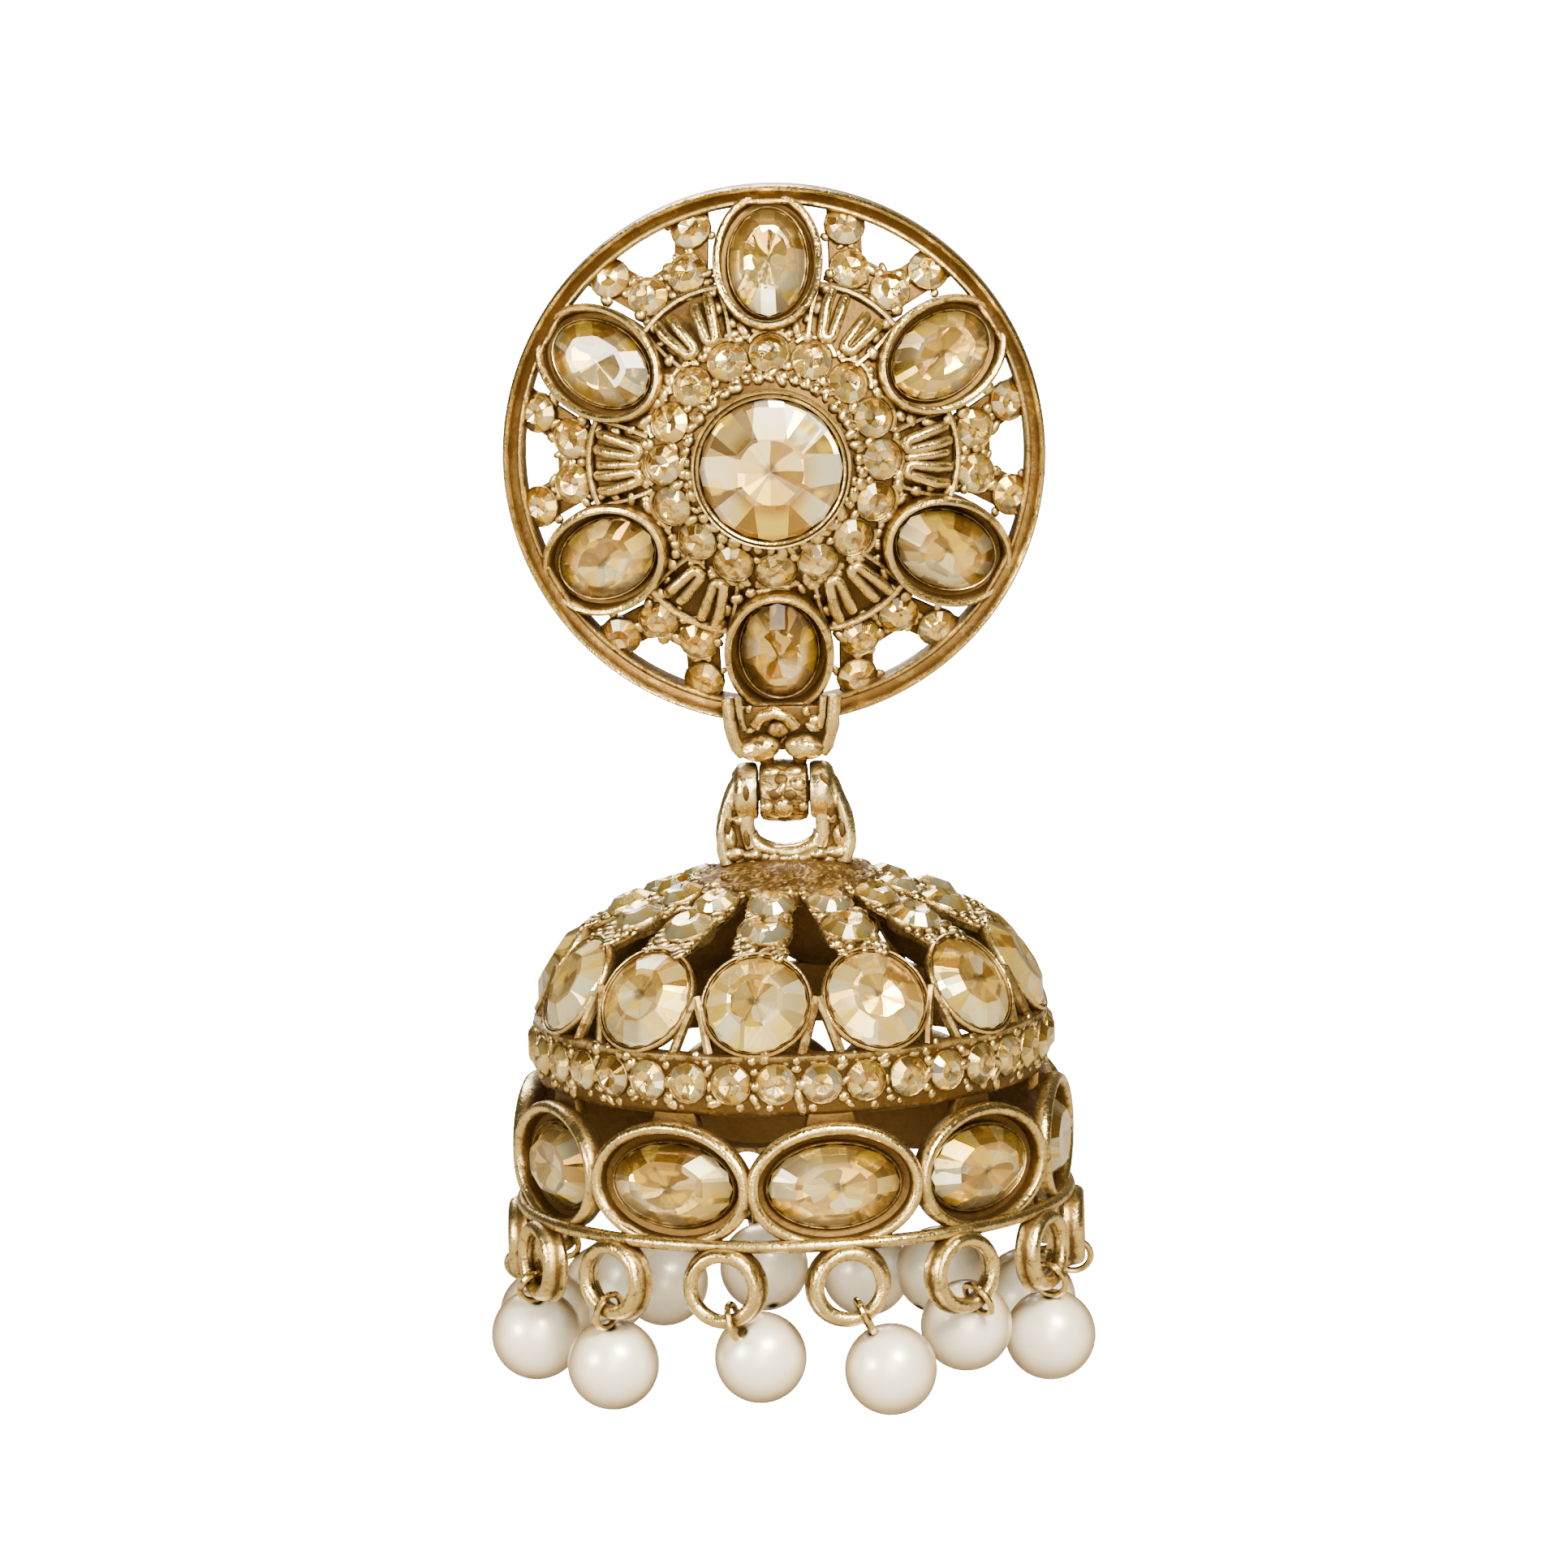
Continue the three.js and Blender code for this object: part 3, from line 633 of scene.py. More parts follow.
def nacre():
    """Creamy pearl nacre, with a painted highlight a little out from its middle, and painted shade
    towards its edge and in its drill holes.
    """
    coated = {"IOR": 1.55, "Coat Weight": 1.0, "Coat Roughness": 0.16}
    material, tree, shader = new_finish(
        "cream nacre", {"Metallic": 0.3, "Roughness": 0.36, **coated}
    )
    place = wired(tree, "ShaderNodeTexCoord").outputs["Object"]
    mark = wired(tree, "ShaderNodeAttribute", attribute_name="patina").outputs["Fac"]
    # The nacre has a painted highlight a little out from where it faces the eye, and painted shade
    # that darkens it to its edge.
    facing = wired(tree, "ShaderNodeLayerWeight", {"Blend": 0.5}).outputs["Facing"]
    facing_for_painted_light = number_of(
        tree, "MULTIPLY_ADD", clouds(tree, place, 260.0, 2.0)["Fac"], 0.16, facing
    )
    nacre_with_painted_light = graded(
        tree, facing_for_painted_light,
        [(0.08, (1.0, 0.94, 0.84)), (0.26, (1.0, 0.98, 0.93)), (0.46, (0.91, 0.8, 0.64)),
         (0.68, (0.55, 0.42, 0.27)), (0.9, (0.28, 0.19, 0.1))],
    )
    # The patina mark paints shade in the drill holes.
    drill_hole_shade = (0.06, 0.04, 0.02, 1)
    feed(tree, shader, {"Base Color": blended(tree, mark, nacre_with_painted_light, drill_hole_shade)})
    return material


pearl_nacre = nacre()

# ---------------------------------------------------------------- stones


def cut(plane_through, plane_normal):
    """One flat ground on a stone: what lies in front of the plane goes, and is closed."""
    bpy.ops.mesh.select_all(action="SELECT")
    bpy.ops.mesh.bisect(
        plane_co=plane_through, plane_no=plane_normal, use_fill=True, clear_outer=True,
        threshold=1e-8,
    )


def ground_facets(count, start, outer, inner):
    """A ring of facets, each through (radius, height) outer at the girdle and inner above."""
    run, rise = outer[0] - inner[0], inner[1] - outer[1]
    for x, y in ways(start + i * 360 / count for i in range(count)):
        cut(Vector((x * outer[0], y * outer[0], outer[1])) * MM, Vector((x * rise, y * rise, run)))


NARROW_REACH = 1.04  # how far out the narrow crown facets end, against the broad ones


def brilliant(name, half, back, girdle, crown, table, mains=8, lip=True):
    """A brilliant on a flat back: broad crown facets with narrow ones between them, a lip of
    small ones at the girdle, and the table, sunk a little towards its middle and divided as
    the pavilion divides it. Heights are in millimetres, and half its half axes."""
    clear_bench()
    bpy.ops.mesh.primitive_cylinder_add(
        vertices=mains * 2, radius=MM, depth=(crown - back) * MM,
        location=(0, 0, (crown + back) / 2 * MM),
    )
    piece = bpy.context.object
    bpy.ops.object.mode_set(mode="EDIT")
    bpy.ops.mesh.select_mode(type="FACE")
    ground_facets(mains, 0, (1.0, girdle), (table, crown))
    ground_facets(mains, 180 / mains, (1.0, girdle), (table * NARROW_REACH, crown))
    if lip:
        ground_facets(mains * 2, 90 / mains, (0.985, girdle), (0.90, crown))
    sink_pavilion(piece, 0.2 * table)
    bpy.ops.mesh.select_all(action="SELECT")
    bpy.ops.transform.resize(value=(half[0], half[1], 1), center_override=(0, 0, 0))
    return settle(piece, name)


def sink_pavilion(piece, margin):
    """Sinks the table inside a margin, and divides it from its middle."""
    shape = bmesh.from_edit_mesh(piece.data)
    top = max(v.co.z for v in shape.verts)
    for face in shape.faces:
        face.select_set(all(top - v.co.z < 1e-3 * MM for v in face.verts))
    bmesh.update_edit_mesh(piece.data)
    bpy.ops.mesh.inset(thickness=margin * MM, depth=-0.02 * MM)
    bpy.ops.mesh.poke(offset=-0.1 * MM)


def painted_facet_light(piece, spot, half, seed, palette, sectors=0):
    """Paints the light and shade each facet gives back, from a palette that runs from dark to pale,
    paler below than above as the light falls, and lays out the places across the stone, with its
    own number, in the attribute gem. With sectors, painted pale and dark facets take turns round
    the stone."""
    chance = random.Random(seed)
    number = chance.uniform(0, 50)
    mesh = piece.data
    inward = spot.inverted()
    down = inward.to_3x3() @ -UP
    down = Vector((down.x, down.y, 0)).normalized()
    aside = Vector((-down.y, down.x, 0))
    usual = sum(face.area for face in mesh.polygons) / len(mesh.polygons)
    colours = mesh.attributes.new("painted_facet_light", "FLOAT_COLOR", "FACE")
    for face in mesh.polygons:
        middle = inward @ face.center / MM
        away = Vector((middle.x / half[0], middle.y / half[1], 0))
        # Painted light: paler below, darker on the smaller facets, lighter on the broad ones.
        lightness = chance.random() + 0.4 * away.dot(down) - (0.35 if face.area < usual else -0.1)
        if sectors:
            sector = math.floor((math.atan2(away.y, away.x) / math.tau + 1) * sectors + 0.5)
            lightness = 0.35 * lightness + (0.0 if sector % 2 else 0.62)
        drawn_at = lightness * len(palette)
        colour = palette[int(min(len(palette) - 1, max(0, drawn_at)))]
        shade = chance.uniform(0.88, 1.08)
        colours.data[face.index].color = (*(min(1, c * shade) for c in colour), 1)
    places = mesh.attributes.new("gem", "FLOAT_VECTOR", "POINT")
    for point in mesh.vertices:
        local = inward @ point.co / MM
        away = Vector((local.x / half[0], local.y / half[1], 0))
        places.data[point.index].vector = (away.dot(aside), -away.dot(down), number)
    return piece


def set_stone(cut_stone, spot, half, seed, palette, crystal_kind, body, node, number="", sectors=0):
    """One large stone in its frame, its facets painted with light and shade, for a CAD node of that
    name and number.
    """
    stone = placed(cut_stone, spot, f"{node}_cut{number}")
    painted_facet_light(stone, spot, half, seed, palette, sectors)
    dress(stone, crystal_kind, body, "stone", node + number)


def set_row(cut_stone, row, frame_of, half, palettes, crystal_kind, body, node):
    """The large stones of a row, each with its own palette."""
    row_name = node.removesuffix("_stone").replace("_", " ")
    for i, (turn, palette) in enumerate(zip(turns_of(row), palettes)):
        set_stone(cut_stone, frame_of(turn), half, f"{row_name} {i}", palette, crystal_kind, body,
                  node, f"_{i + 1:02d}")


# Palettes of the painted light and shade of the facets, from dark to pale.
CLEAR = [CHAMPAGNE, CREAM, WHITE, CREAM, WHITE]
GOLDEN = [TAN, CHAMPAGNE, GOLD, CREAM, WHITE]
CHAMPAGNE_CUT = [TAN, CHAMPAGNE, CREAM, CREAM, GOLD, CREAM, WHITE]
SNOWY = [GREY, GREY, TAN, CREAM, SNOW, SNOW]
AMBER_CUT = [BROWN, BROWN, TAN, CHAMPAGNE]

# ---------------------------------------------------------------- the small settings

small_stone = brilliant(
    "small stone", (CHATON, CHATON), -0.35, -0.02, 0.42, table=0.5, mains=6, lip=False
)
small_cup = turned(
    "small cup",
    [(1.0, -0.6, 0.9), (1.14, -0.25, 0.6), (1.17, 0.0, 0.2), (1.12, 0.09, 0.0),
     (1.06, 0.04, 0.2), (1.02, -0.1, 0.9), (0.95, -0.3, 1.0)],
    segments=16, ends="floor",
)
NUGGET_SHAPES = ((1, 1, 0.75), (1.6, 0.85, 0.7), (1.1, 1.35, 0.75))
nuggets = [bead("nugget", 0.3, 8, 6, shape) for shape in NUGGET_SHAPES]


def grains(places, seed):
    """Grains of metal at places, no two of them quite alike."""
    chance = random.Random(seed)
    made = []
    for place in places:
        place = place @ at(chance.uniform(-0.13, 0.13), chance.uniform(-0.13, 0.13), 0)
        grown = Matrix.Scale(chance.uniform(0.7, 1.3), 4)
        spun = Matrix.Rotation(chance.uniform(0, math.tau), 4, "Z")
        made.append(placed(chance.choice(nuggets), place @ spun @ grown))
    return made


def setting(spots, cup_name, stone_name, beads):
    """Small stones in their cups at spots, with grains at local places round each."""
    chance = random.Random(stone_name)
    metal_parts, stones = [], []
    for i, spot in enumerate(spots):
        metal_parts.append(placed(small_cup, spot))
        metal_parts += grains([spot @ at(*place) for place in beads], f"{cup_name} {i}")
        stone = placed(small_stone, spot @ at(0, 0, 0, chance.uniform(0, 60)))
        palette = chance.choice([CLEAR, GOLDEN, GOLDEN, GOLDEN, CHAMPAGNE_CUT])
        stones.append(painted_facet_light(stone, spot, (CHATON, CHATON), f"{stone_name} {i}", palette))
    return joined(cup_name, metal_parts), joined(stone_name, stones)


# ---------------------------------------------------------------- the stud

rim = turned(
    "stud_rim",
    [(13.65, 0.0, 0.6), (14.6, 0.0, 0.6), (14.85, 0.25, 0.45), (14.88, 1.6, 0.4),
     (14.87, 1.92, 0.1), (14.76, 2.08, 0.0), (14.62, 1.98, 0.25), (14.52, 1.7, 0.95),
     (14.3, 1.5, 0.85), (14.1, 1.4, 0.8), (14.02, 1.46, 0.2), (13.93, 1.48, 0.0),
     (13.83, 1.4, 0.3), (13.72, 1.0, 1.0)],
    segments=144,
)
rim_placed = placed(rim, STUD_AXIS, "stud_rim_ring")
discard(rim)

web = turned(
    "web",
    [(3.6, stud_front(3.6) - STUD["metal"], 0.7), (9.9, stud_front(9.9) - STUD["metal"], 0.7),
     (9.95, stud_front(9.9) - 0.1, 1.0), (9.8, stud_front(9.8), 1.15),
     (3.7, stud_front(3.7), 1.15)],
    segments=64,
)


def down_slope(*corners):
    """Corners (ring, across) on a sector's slope."""
    return [(ring * DOWN_SLOPE, across) for ring, across in corners]


def slope_line(points):
    """Points (ring, across, lift) on a sector's slope."""
    return [(ring * DOWN_SLOPE, across, lift) for ring, across, lift in points]


FORK_FROM, FORK_TO = Vector((9.7, 0.6)), Vector((13.95, 3.2))


def fork_bar(side):
    """A bar under two small stones, from the fan out to the rim."""
    along = (FORK_TO - FORK_FROM).normalized()
    beside = Vector((-along.y, along.x)) * 0.92
    corners = [FORK_FROM + beside, FORK_TO + beside, FORK_TO - beside, FORK_FROM - beside]
    return plate("fork", down_slope(*((x, side * y) for x, y in corners)), -0.5, -0.15, 0.08, 0.9)


def fan_bar(points, radius):
    """One thick bar of the fan, its ends rounded off."""
    ends = bead("bar end", radius * 1.05, 10, 6)
    tips = [placed(ends, at(*tip)) for tip in (points[0], points[-1])]
    discard(ends)
    return [wire("fan bar", points, radius, 10)] + tips


def hairpin(across, chance):
    """A thick wire doubled back on itself beside the halo, its two ends open towards the rim."""
    bow_at, bow, spread = 7.45, 0.3, chance.uniform(0.4, 0.48)
    inner = across * 0.62
    turn_back = [(bow_at - bow * up, inner - bow * aside, 0.3)
                 for aside, up in ways((0, 45, 90, 135, 180))]
    tip_1, tip_2 = 9.35 + chance.uniform(-0.25, 0.1), 9.35 + chance.uniform(-0.25, 0.1)
    out_leg = [(tip_1, across - spread, 0.25), (8.6, across * 0.92 - spread, 0.62)]
    back_leg = [(8.6, across * 0.92 + spread, 0.62), (tip_2, across + spread, 0.25)]
    return fan_bar(slope_line(out_leg + turn_back + back_leg), 0.32)


def sector_parts(seed):
    """One sector between two ovals: the fan of bars and the fork under four small stones."""
    chance = random.Random(seed)
    # Under the fan a plate marked darkest: painted shade in the slots between the bars.
    fan = [plate(
        "fan shade plate", down_slope((6.9, -1.2), (9.7, -1.9), (9.7, 1.9), (6.9, 1.2)),
        -0.3, 0.08, 0.0, 1.5,
    )]
    fan += hairpin(-1.14, chance) + hairpin(1.14, chance)
    lean = chance.uniform(-0.15, 0.15)
    if chance.random() < 0.5:
        fan += fan_bar(slope_line([(7.3, 0, 0.3), (8.4, lean / 2, 0.6), (9.3, lean, 0.3)]), 0.25)
    fan.append(plate(
        "fork web", down_slope((9.6, -1.9), (11.5, -1.9), (11.9, -0.5),
                               (11.9, 0.5), (11.5, 1.9), (9.6, 1.9)),
        -0.6, -0.12, 0.0, 1.1,
    ))
    crumbs = ((10.5, 0.1), (10.45, 0.6), (10.5, -0.5), (11.0, 0.1), (11.5, -0.25), (11.6, 0.3),
              (10.2, 2.0), (10.2, -2.0), (12.1, 1.2), (12.1, -1.2))
    fan += grains([at(r * DOWN_SLOPE, y, -0.1) for r, y in crumbs], seed)
    line = [(9.95 - 0.09 * y * y, y, 0.3) for y in (-2.3, -1.6, -0.8, 0, 0.8, 1.6, 2.3)]
    fan.append(wire("fan arc", slope_line(line), 0.2, 8))
    for side in (-1, 1):
        edge = [(6.75, side * 1.5, 0.05), (7.9, side * 2.0, 0.2), (9.6, side * 2.45, 0.25)]
        fan.append(wire("fan edge", slope_line(edge), 0.16, 6, patina=0.2))
        fan.append(fork_bar(side))
    return joined("sector", fan)


sectors = [sector_parts(f"sector {i}") for i in range(3)]
lattice = joined(
    "stud_lattice",
    [placed(web, STUD_AXIS)]
    + [placed(sectors[i % 3], stud_frame(turn, 0)) for i, turn in enumerate(SECTORS)],
)
discard(web, *sectors)

scallop = wire(
    "scallop", [(1.3 * x, 1.3 * y, 0.02) for x, y in ways(range(-60, 61, 15))], 0.13, 6
)
borders = joined(
    "borders",
    [placed(scallop, stud_frame(turn, HALO["ring"], 0.08)) for turn in turns_of(HALO)]
    + grains([stud_frame(i * 8, ring, 0.05) for ring in (4.62, 4.85) for i in range(45)],
             "round the centre")
    + grains([stud_frame(i * 11.25 + 5.6, 7.15, 0.06) for i in range(32)], "round the halo"),
)
discard(scallop)

oval_cup = turned(
    "oval cup",
    [(-0.15, -2.0, 0.85), (0.0, -0.8, 0.8), (0.03, -0.25, 0.25), (-0.02, -0.06, 0.0),
     (-0.18, 0.02, 0.0), (-0.34, -0.04, 0.0), (-0.42, -0.22, 0.5), (-0.45, -0.9, 1.0),
     (-0.7, -0.98, 1.0), (-0.74, -0.74, 0.5), (-0.79, -0.66, 0.05), (-0.85, -0.7, 0.3),
     (-0.9, -1.0, 1.0), (-1.2, -1.1, 1.0)],
    segments=64, half=(STUD_OVAL["long"], STUD_OVAL["short"]), ends="floor",
)
centre_cup = turned(
    "centre cup",
    [(-0.6, -3.9, 0.7), (-0.15, -2.2, 1.0), (0.0, -0.7, 1.1), (0.0, -0.3, 0.3),
     (-0.06, -0.1, 0.0), (-0.14, -0.12, 0.2), (-0.18, -0.2, 0.9), (-0.22, -0.12, 0.3),
     (-0.3, 0.0, 0.0), (-0.38, -0.04, 0.1), (-0.43, -0.3, 0.9), (-0.48, -0.9, 1.0),
     (-0.8, -1.3, 1.0)],
    segments=80, half=(CENTRE["half"], CENTRE["half"]), ends="floor",
)


def oval_frame(turn):
    """The frame of a stud oval, level with the top of its bezel."""
    return stud_frame(turn, STUD_OVAL["ring"], STUD_OVAL["proud"])


stud_cups = joined(
    "stud_bezels",
    [placed(centre_cup, CENTRE_FRAME)]
    + [placed(oval_cup, oval_frame(turn)) for turn in turns_of(STUD_OVAL)],
)
discard(oval_cup, centre_cup)


def round_oval(turn):
    """Places on the slope beside the inner half of an oval's bezel."""
    spot = oval_frame(turn)
    along, across = STUD_OVAL["long"] + 0.32, STUD_OVAL["short"] + 0.32
    inner_half = ways((98, 112, 126, 140, 154, 206, 220, 234, 248, 262))
    return [spot @ at(along * x, across * y, -0.85) for x, y in inner_half]


oval_grains = joined(
    "oval grains",
    [grain for i, turn in enumerate(turns_of(STUD_OVAL))
     for grain in grains(round_oval(turn), f"oval {i}")],
)

fork_spots = [
    stud_frame(turn, 0) @ at(ring * DOWN_SLOPE, side * across, 0.05)
    for turn in SECTORS
    for ring, across in ((11.0, 1.25), (12.9, 2.6))
    for side in (-1, 1)
]
halo_spots = [stud_frame(turn, HALO["ring"], 0.05) for turn in turns_of(HALO)]
fork_cups, fork_stones = setting(
    fork_spots, "fork_settings", "fork_stones",
    [(0.9, 0.85, -0.2), (-1.05, 0.7, -0.15), (-0.9, -0.85, -0.2)],
)
halo_cups, halo_stones = setting(
    halo_spots, "halo_settings", "halo_stones",
    [(1.0, 1.1, -0.02), (1.0, -1.1, -0.02), (-0.75, 1.05, -0.05)],
)


def extension_parts():
    """The tongue below the stud: a dark plate between rails that close in on the barrel, two
    lobes side by side below and a curl of thick wire between them above."""
    low_edge = [(2.6, -14.8), (2.4, -16.0), (2.15, -16.82), (0.75, -16.82), (0.4, -16.5)]
    low = plate(
        "low tongue", [(-x, y) for x, y in low_edge] + low_edge[::-1], 0.5, 1.0, 0.1, 1.1
    )
    high = plate(
        "high tongue", [(-2.9, -13.9), (-2.7, -15.0), (2.7, -15.0), (2.9, -13.9)], 0.5, 2.1, 0.1,
        1.25,
    )
    parts = [low, high]
    lobe_ball = bead("lobe", 0.92, 24, 16, (1.22, 0.8, 0.8))
    neck = bead("neck", 0.42, 16, 10, (1.0, 1.2, 1.2), 0.9)
    for side in (-1, 1):
        outer = [(side * 2.95, -13.3, 2.4), (side * 2.85, -14.4, 2.4), (side * 2.7, -15.4, 2.2),
                 (side * 2.48, -16.1, 2.0), (side * 2.15, -16.5, 1.9)]
        inner = [(side * 2.35, -13.3, 2.45), (side * 2.25, -14.4, 2.4), (side * 2.1, -15.1, 2.1)]
        parts.append(wire("outer rail", outer, 0.38, 10))
        parts.append(wire("inner rail", inner, 0.22, 8, patina=0.1))
        parts.append(placed(lobe_ball, at(side * 1.24, -16.2, 2.0, side * -10)))
        parts.append(placed(neck, at(side * 0.92, -16.85, 1.5)))
    curl = [(-1.45, -14.9, 2.1), (-1.1, -14.4, 2.45), (-0.4, -14.15, 2.55), (0.3, -14.4, 2.5),
            (0.75, -15.0, 2.2)]
    parts.append(wire("curl", curl, 0.36, 10))
    middle = bead("middle bead", 0.6, 16, 10, (1.1, 0.9, 0.8), patina=0.45)
    parts.append(placed(middle, at(-0.2, -15.1, 2.0)))
    discard(lobe_ball, neck, middle)
    corners = ((-1.75, -15.2, 2.0), (1.6, -15.1, 2.1), (0.1, -15.8, 1.4), (1.3, -14.2, 2.2),
               (1.7, -14.6, 2.2), (-1.7, -13.9, 2.2))
    parts += grains([at(*corner) for corner in corners], "tongue")
    return cast_lumpy(joined("tongue parts", parts), 0.9, 0.22)


tongue_parts = extension_parts()
extension = placed(tongue_parts, STUD_AXIS, "tongue_placed")
discard(tongue_parts)

barrel = turned(
    "barrel",
    [(0.95, -1.33, 0.6), (1.4, -1.33, 0.4), (1.58, -1.22, 0.15), (1.68, -0.9, 0.3),
     (1.72, -0.45, 0.55), (1.74, 0.0, 0.6), (1.72, 0.45, 0.55), (1.68, 0.9, 0.3),
     (1.58, 1.22, 0.15), (1.4, 1.33, 0.4), (0.95, 1.33, 0.6)],
    segments=44,
)
barrel_spot = frame_at(HINGE_PLACE, Vector((0, 1, 0)), Vector((1, 0, 0)))


def on_barrel(angle, out, across):
    """A place on the barrel, angle in degrees upwards from the front."""
    t = math.radians(angle)
    facing = Vector((0, -math.cos(t), math.sin(t)))
    sideways = Vector((1, 0, 0))
    return frame_at(HINGE_PLACE + sideways * across + facing * out, sideways, facing)


boss = bead("boss", 0.62, 16, 10, (0.9, 1, 0.6))
collar = bead("collar", 0.5, 12, 8, (1.1, 0.7, 0.5), 0.1)
# A flat mark, marked darkest: painted shade of a hollow in the casting.
hollow = bead("hollow", 0.34, 16, 8, (1.1, 0.9, 0.3), 1.5)
barrel_core = cast_lumpy(placed(barrel, barrel_spot), 0.7, 0.1)
mottle(barrel_core, "barrel", (0.0, 0.1, 0.35, 0.7, 1.0))
# What lies on the barrel, each at its (angle, out, across).
barrel_marks = (
    (boss, (-26, 1.66, 0.0)), (collar, (48, 1.64, -0.6)), (collar, (48, 1.64, 0.6)),
    (hollow, (30, 1.74, -0.1)), (hollow, (2, 1.74, -0.42)), (hollow, (0, 1.74, 0.38)),
    (hollow, (-58, 1.73, 0.0)),
)
barrel_grains = ((10, 1.72, 0.0), (20, 1.64, 0.75), (-20, 1.62, 0.95), (-24, 1.62, -0.95))
barrel_placed = joined(
    "barrel_placed",
    [barrel_core]
    + [placed(mark, on_barrel(*place)) for mark, place in barrel_marks]
    + grains([on_barrel(*place) for place in barrel_grains], "barrel"),
)
discard(barrel, boss, collar, hollow)

pin = turned(
    "pin",
    [(0.2, -11.0, 0.2), (0.38, -10.75, 0.1), (0.45, -10.5, 0.1), (0.45, -9.6, 0.1),
     (0.36, -9.5, 0.5), (0.36, -9.2, 0.5), (0.45, -9.1, 0.1), (0.45, 3.1, 0.1), (0.7, 3.3, 0.4),
     (2.0, 3.3, 0.3), (2.2, 3.45, 0.2), (2.2, 3.8, 0.3)],
    segments=24, ends="floor",
)
ear_post = placed(pin, STUD_AXIS, "ear_post_pin")
discard(pin)

stud_metal = joined(
    "stud_goldwork",
    [rim_placed, lattice, borders, stud_cups, oval_grains, fork_cups, halo_cups, extension,
     barrel_placed],
)
stud_chatons = joined("stud_small_stones", [fork_stones, halo_stones])

dress(stud_metal, worn_gold, "stud", "gold", "stud_frame")
dress(stud_chatons, small_crystal, "stud", "stone")
dress(ear_post, wire_gold, "stud", "gold", "ear_post")

centre_half = (CENTRE["half"] - 0.45, CENTRE["half"] - 0.45)
centre_cut = brilliant("centre cut", centre_half, -1.8, -0.4, 0.68, table=0.5)
set_stone(centre_cut, CENTRE_FRAME, centre_half, "centre", SNOWY, clear_crystal, "stud",
          "centre_stone", sectors=16)

# Of the ovals, clockwise from the top, the one at the bottom is the dark one.
oval_palettes = [GOLDEN] * STUD_OVAL["count"]
oval_palettes[STUD_OVAL["count"] // 2] = AMBER_CUT
oval_half = (STUD_OVAL["long"] - 0.88, STUD_OVAL["short"] - 0.88)
oval_cut = brilliant("oval cut", oval_half, -1.1, -0.72, 0.0, table=0.6, lip=False)
set_row(oval_cut, STUD_OVAL, oval_frame, oval_half, oval_palettes, oval_crystal, "stud",
        "stud_oval")
discard(centre_cut, oval_cut)

# ---------------------------------------------------------------- the bell

rim_wire = turned(
    "rim wire",
    [(15.1 + 0.4 * x, 0.4 + 0.36 * y, 0.1) for x, y in ways(range(0, 360, 36))],
    segments=120,
)
hoop = turned(
    "hoop",
    [(13.3, 7.4, 1.1), (13.8, 7.3, 1.0), (14.02, 7.45, 0.85), (14.1, 7.7, 1.0),
     (14.1, 10.3, 1.0), (14.2, 10.45, 0.6), (14.2, 10.65, 0.5), (13.95, 10.8, 0.8),
     (13.3, 10.75, 1.1)],
    segments=108,
)
# Tabs below the band, marked dark: painted shade in the gap between the band and the ovals.
tab = plate("tab", [(-1.5, -0.7), (1.5, -0.7), (1.1, 0.8), (-1.1, 0.8)], -0.35, 0.3, 0.1, 1.1)
tabs = [placed(tab, bell_frame(turn, 13.65, 7.1)) for turn in turns_of(BELL_OVAL)]
cap = turned(
    "cap",
    [(4.9, 17.2, 0.9), (5.15, 17.4, 0.8), (5.22, 18.0, 0.55), (5.05, 18.28, 0.2),
     (4.8, 18.36, 0.3), (4.5, 18.4, 0.8), (4.2, 18.53, 0.6), (3.9, 18.66, 0.6),
     (3.6, 18.78, 0.6), (3.2, 18.92, 0.6), (2.8, 18.98, 0.6), (2.3, 19.04, 0.6),
     (1.8, 19.1, 0.6), (1.2, 19.15, 0.4)],
    segments=72, ends="floor",
)
bell_cup = turned(
    "bell cup",
    [(-0.4, -1.5, 1.15), (-0.05, -1.1, 1.1), (0.1, -0.6, 0.4), (0.08, -0.3, 0.05),
     (-0.05, -0.08, 0.0), (-0.22, 0.0, 0.0), (-0.4, -0.04, 0.0), (-0.52, -0.16, 0.15),
     (-0.58, -0.4, 0.75), (-0.62, -0.85, 1.0), (-0.95, -0.95, 1.0), (-1.02, -0.75, 0.35),
     (-1.1, -0.68, 0.05), (-1.18, -0.75, 0.3), (-1.22, -1.0, 1.0), (-1.5, -1.1, 1.0)],
    segments=72, half=(BELL_OVAL["long"], BELL_OVAL["short"]), ends="floor",
)
dome_cup = turned(
    "dome cup",
    [(-0.5, -0.95, 1.1), (-0.12, -0.65, 1.0), (0.04, -0.3, 0.3), (0.03, -0.08, 0.0),
     (-0.04, 0.0, 0.0), (-0.11, -0.04, 0.2), (-0.14, -0.16, 0.9), (-0.18, -0.12, 0.5),
     (-0.22, -0.04, 0.05), (-0.27, -0.1, 0.3), (-0.3, -0.4, 1.0), (-0.8, -0.65, 1.0)],
    segments=56, half=(DOME["half"], DOME["half"]), ends="floor",
)


def dome_frame(turn):
    """The frame of a dome stone, its X up the dome."""
    spot = bell_frame(turn, DOME["ring"], DOME["height"], DOME["rise"])
    return spot @ Matrix.Rotation(math.pi / 2, 4, "Z")


def bell_oval_frame(turn):
    """The frame of a bell oval, level with the top of its bezel."""
    return bell_frame(turn, BELL_OVAL["ring"], BELL_OVAL["height"])


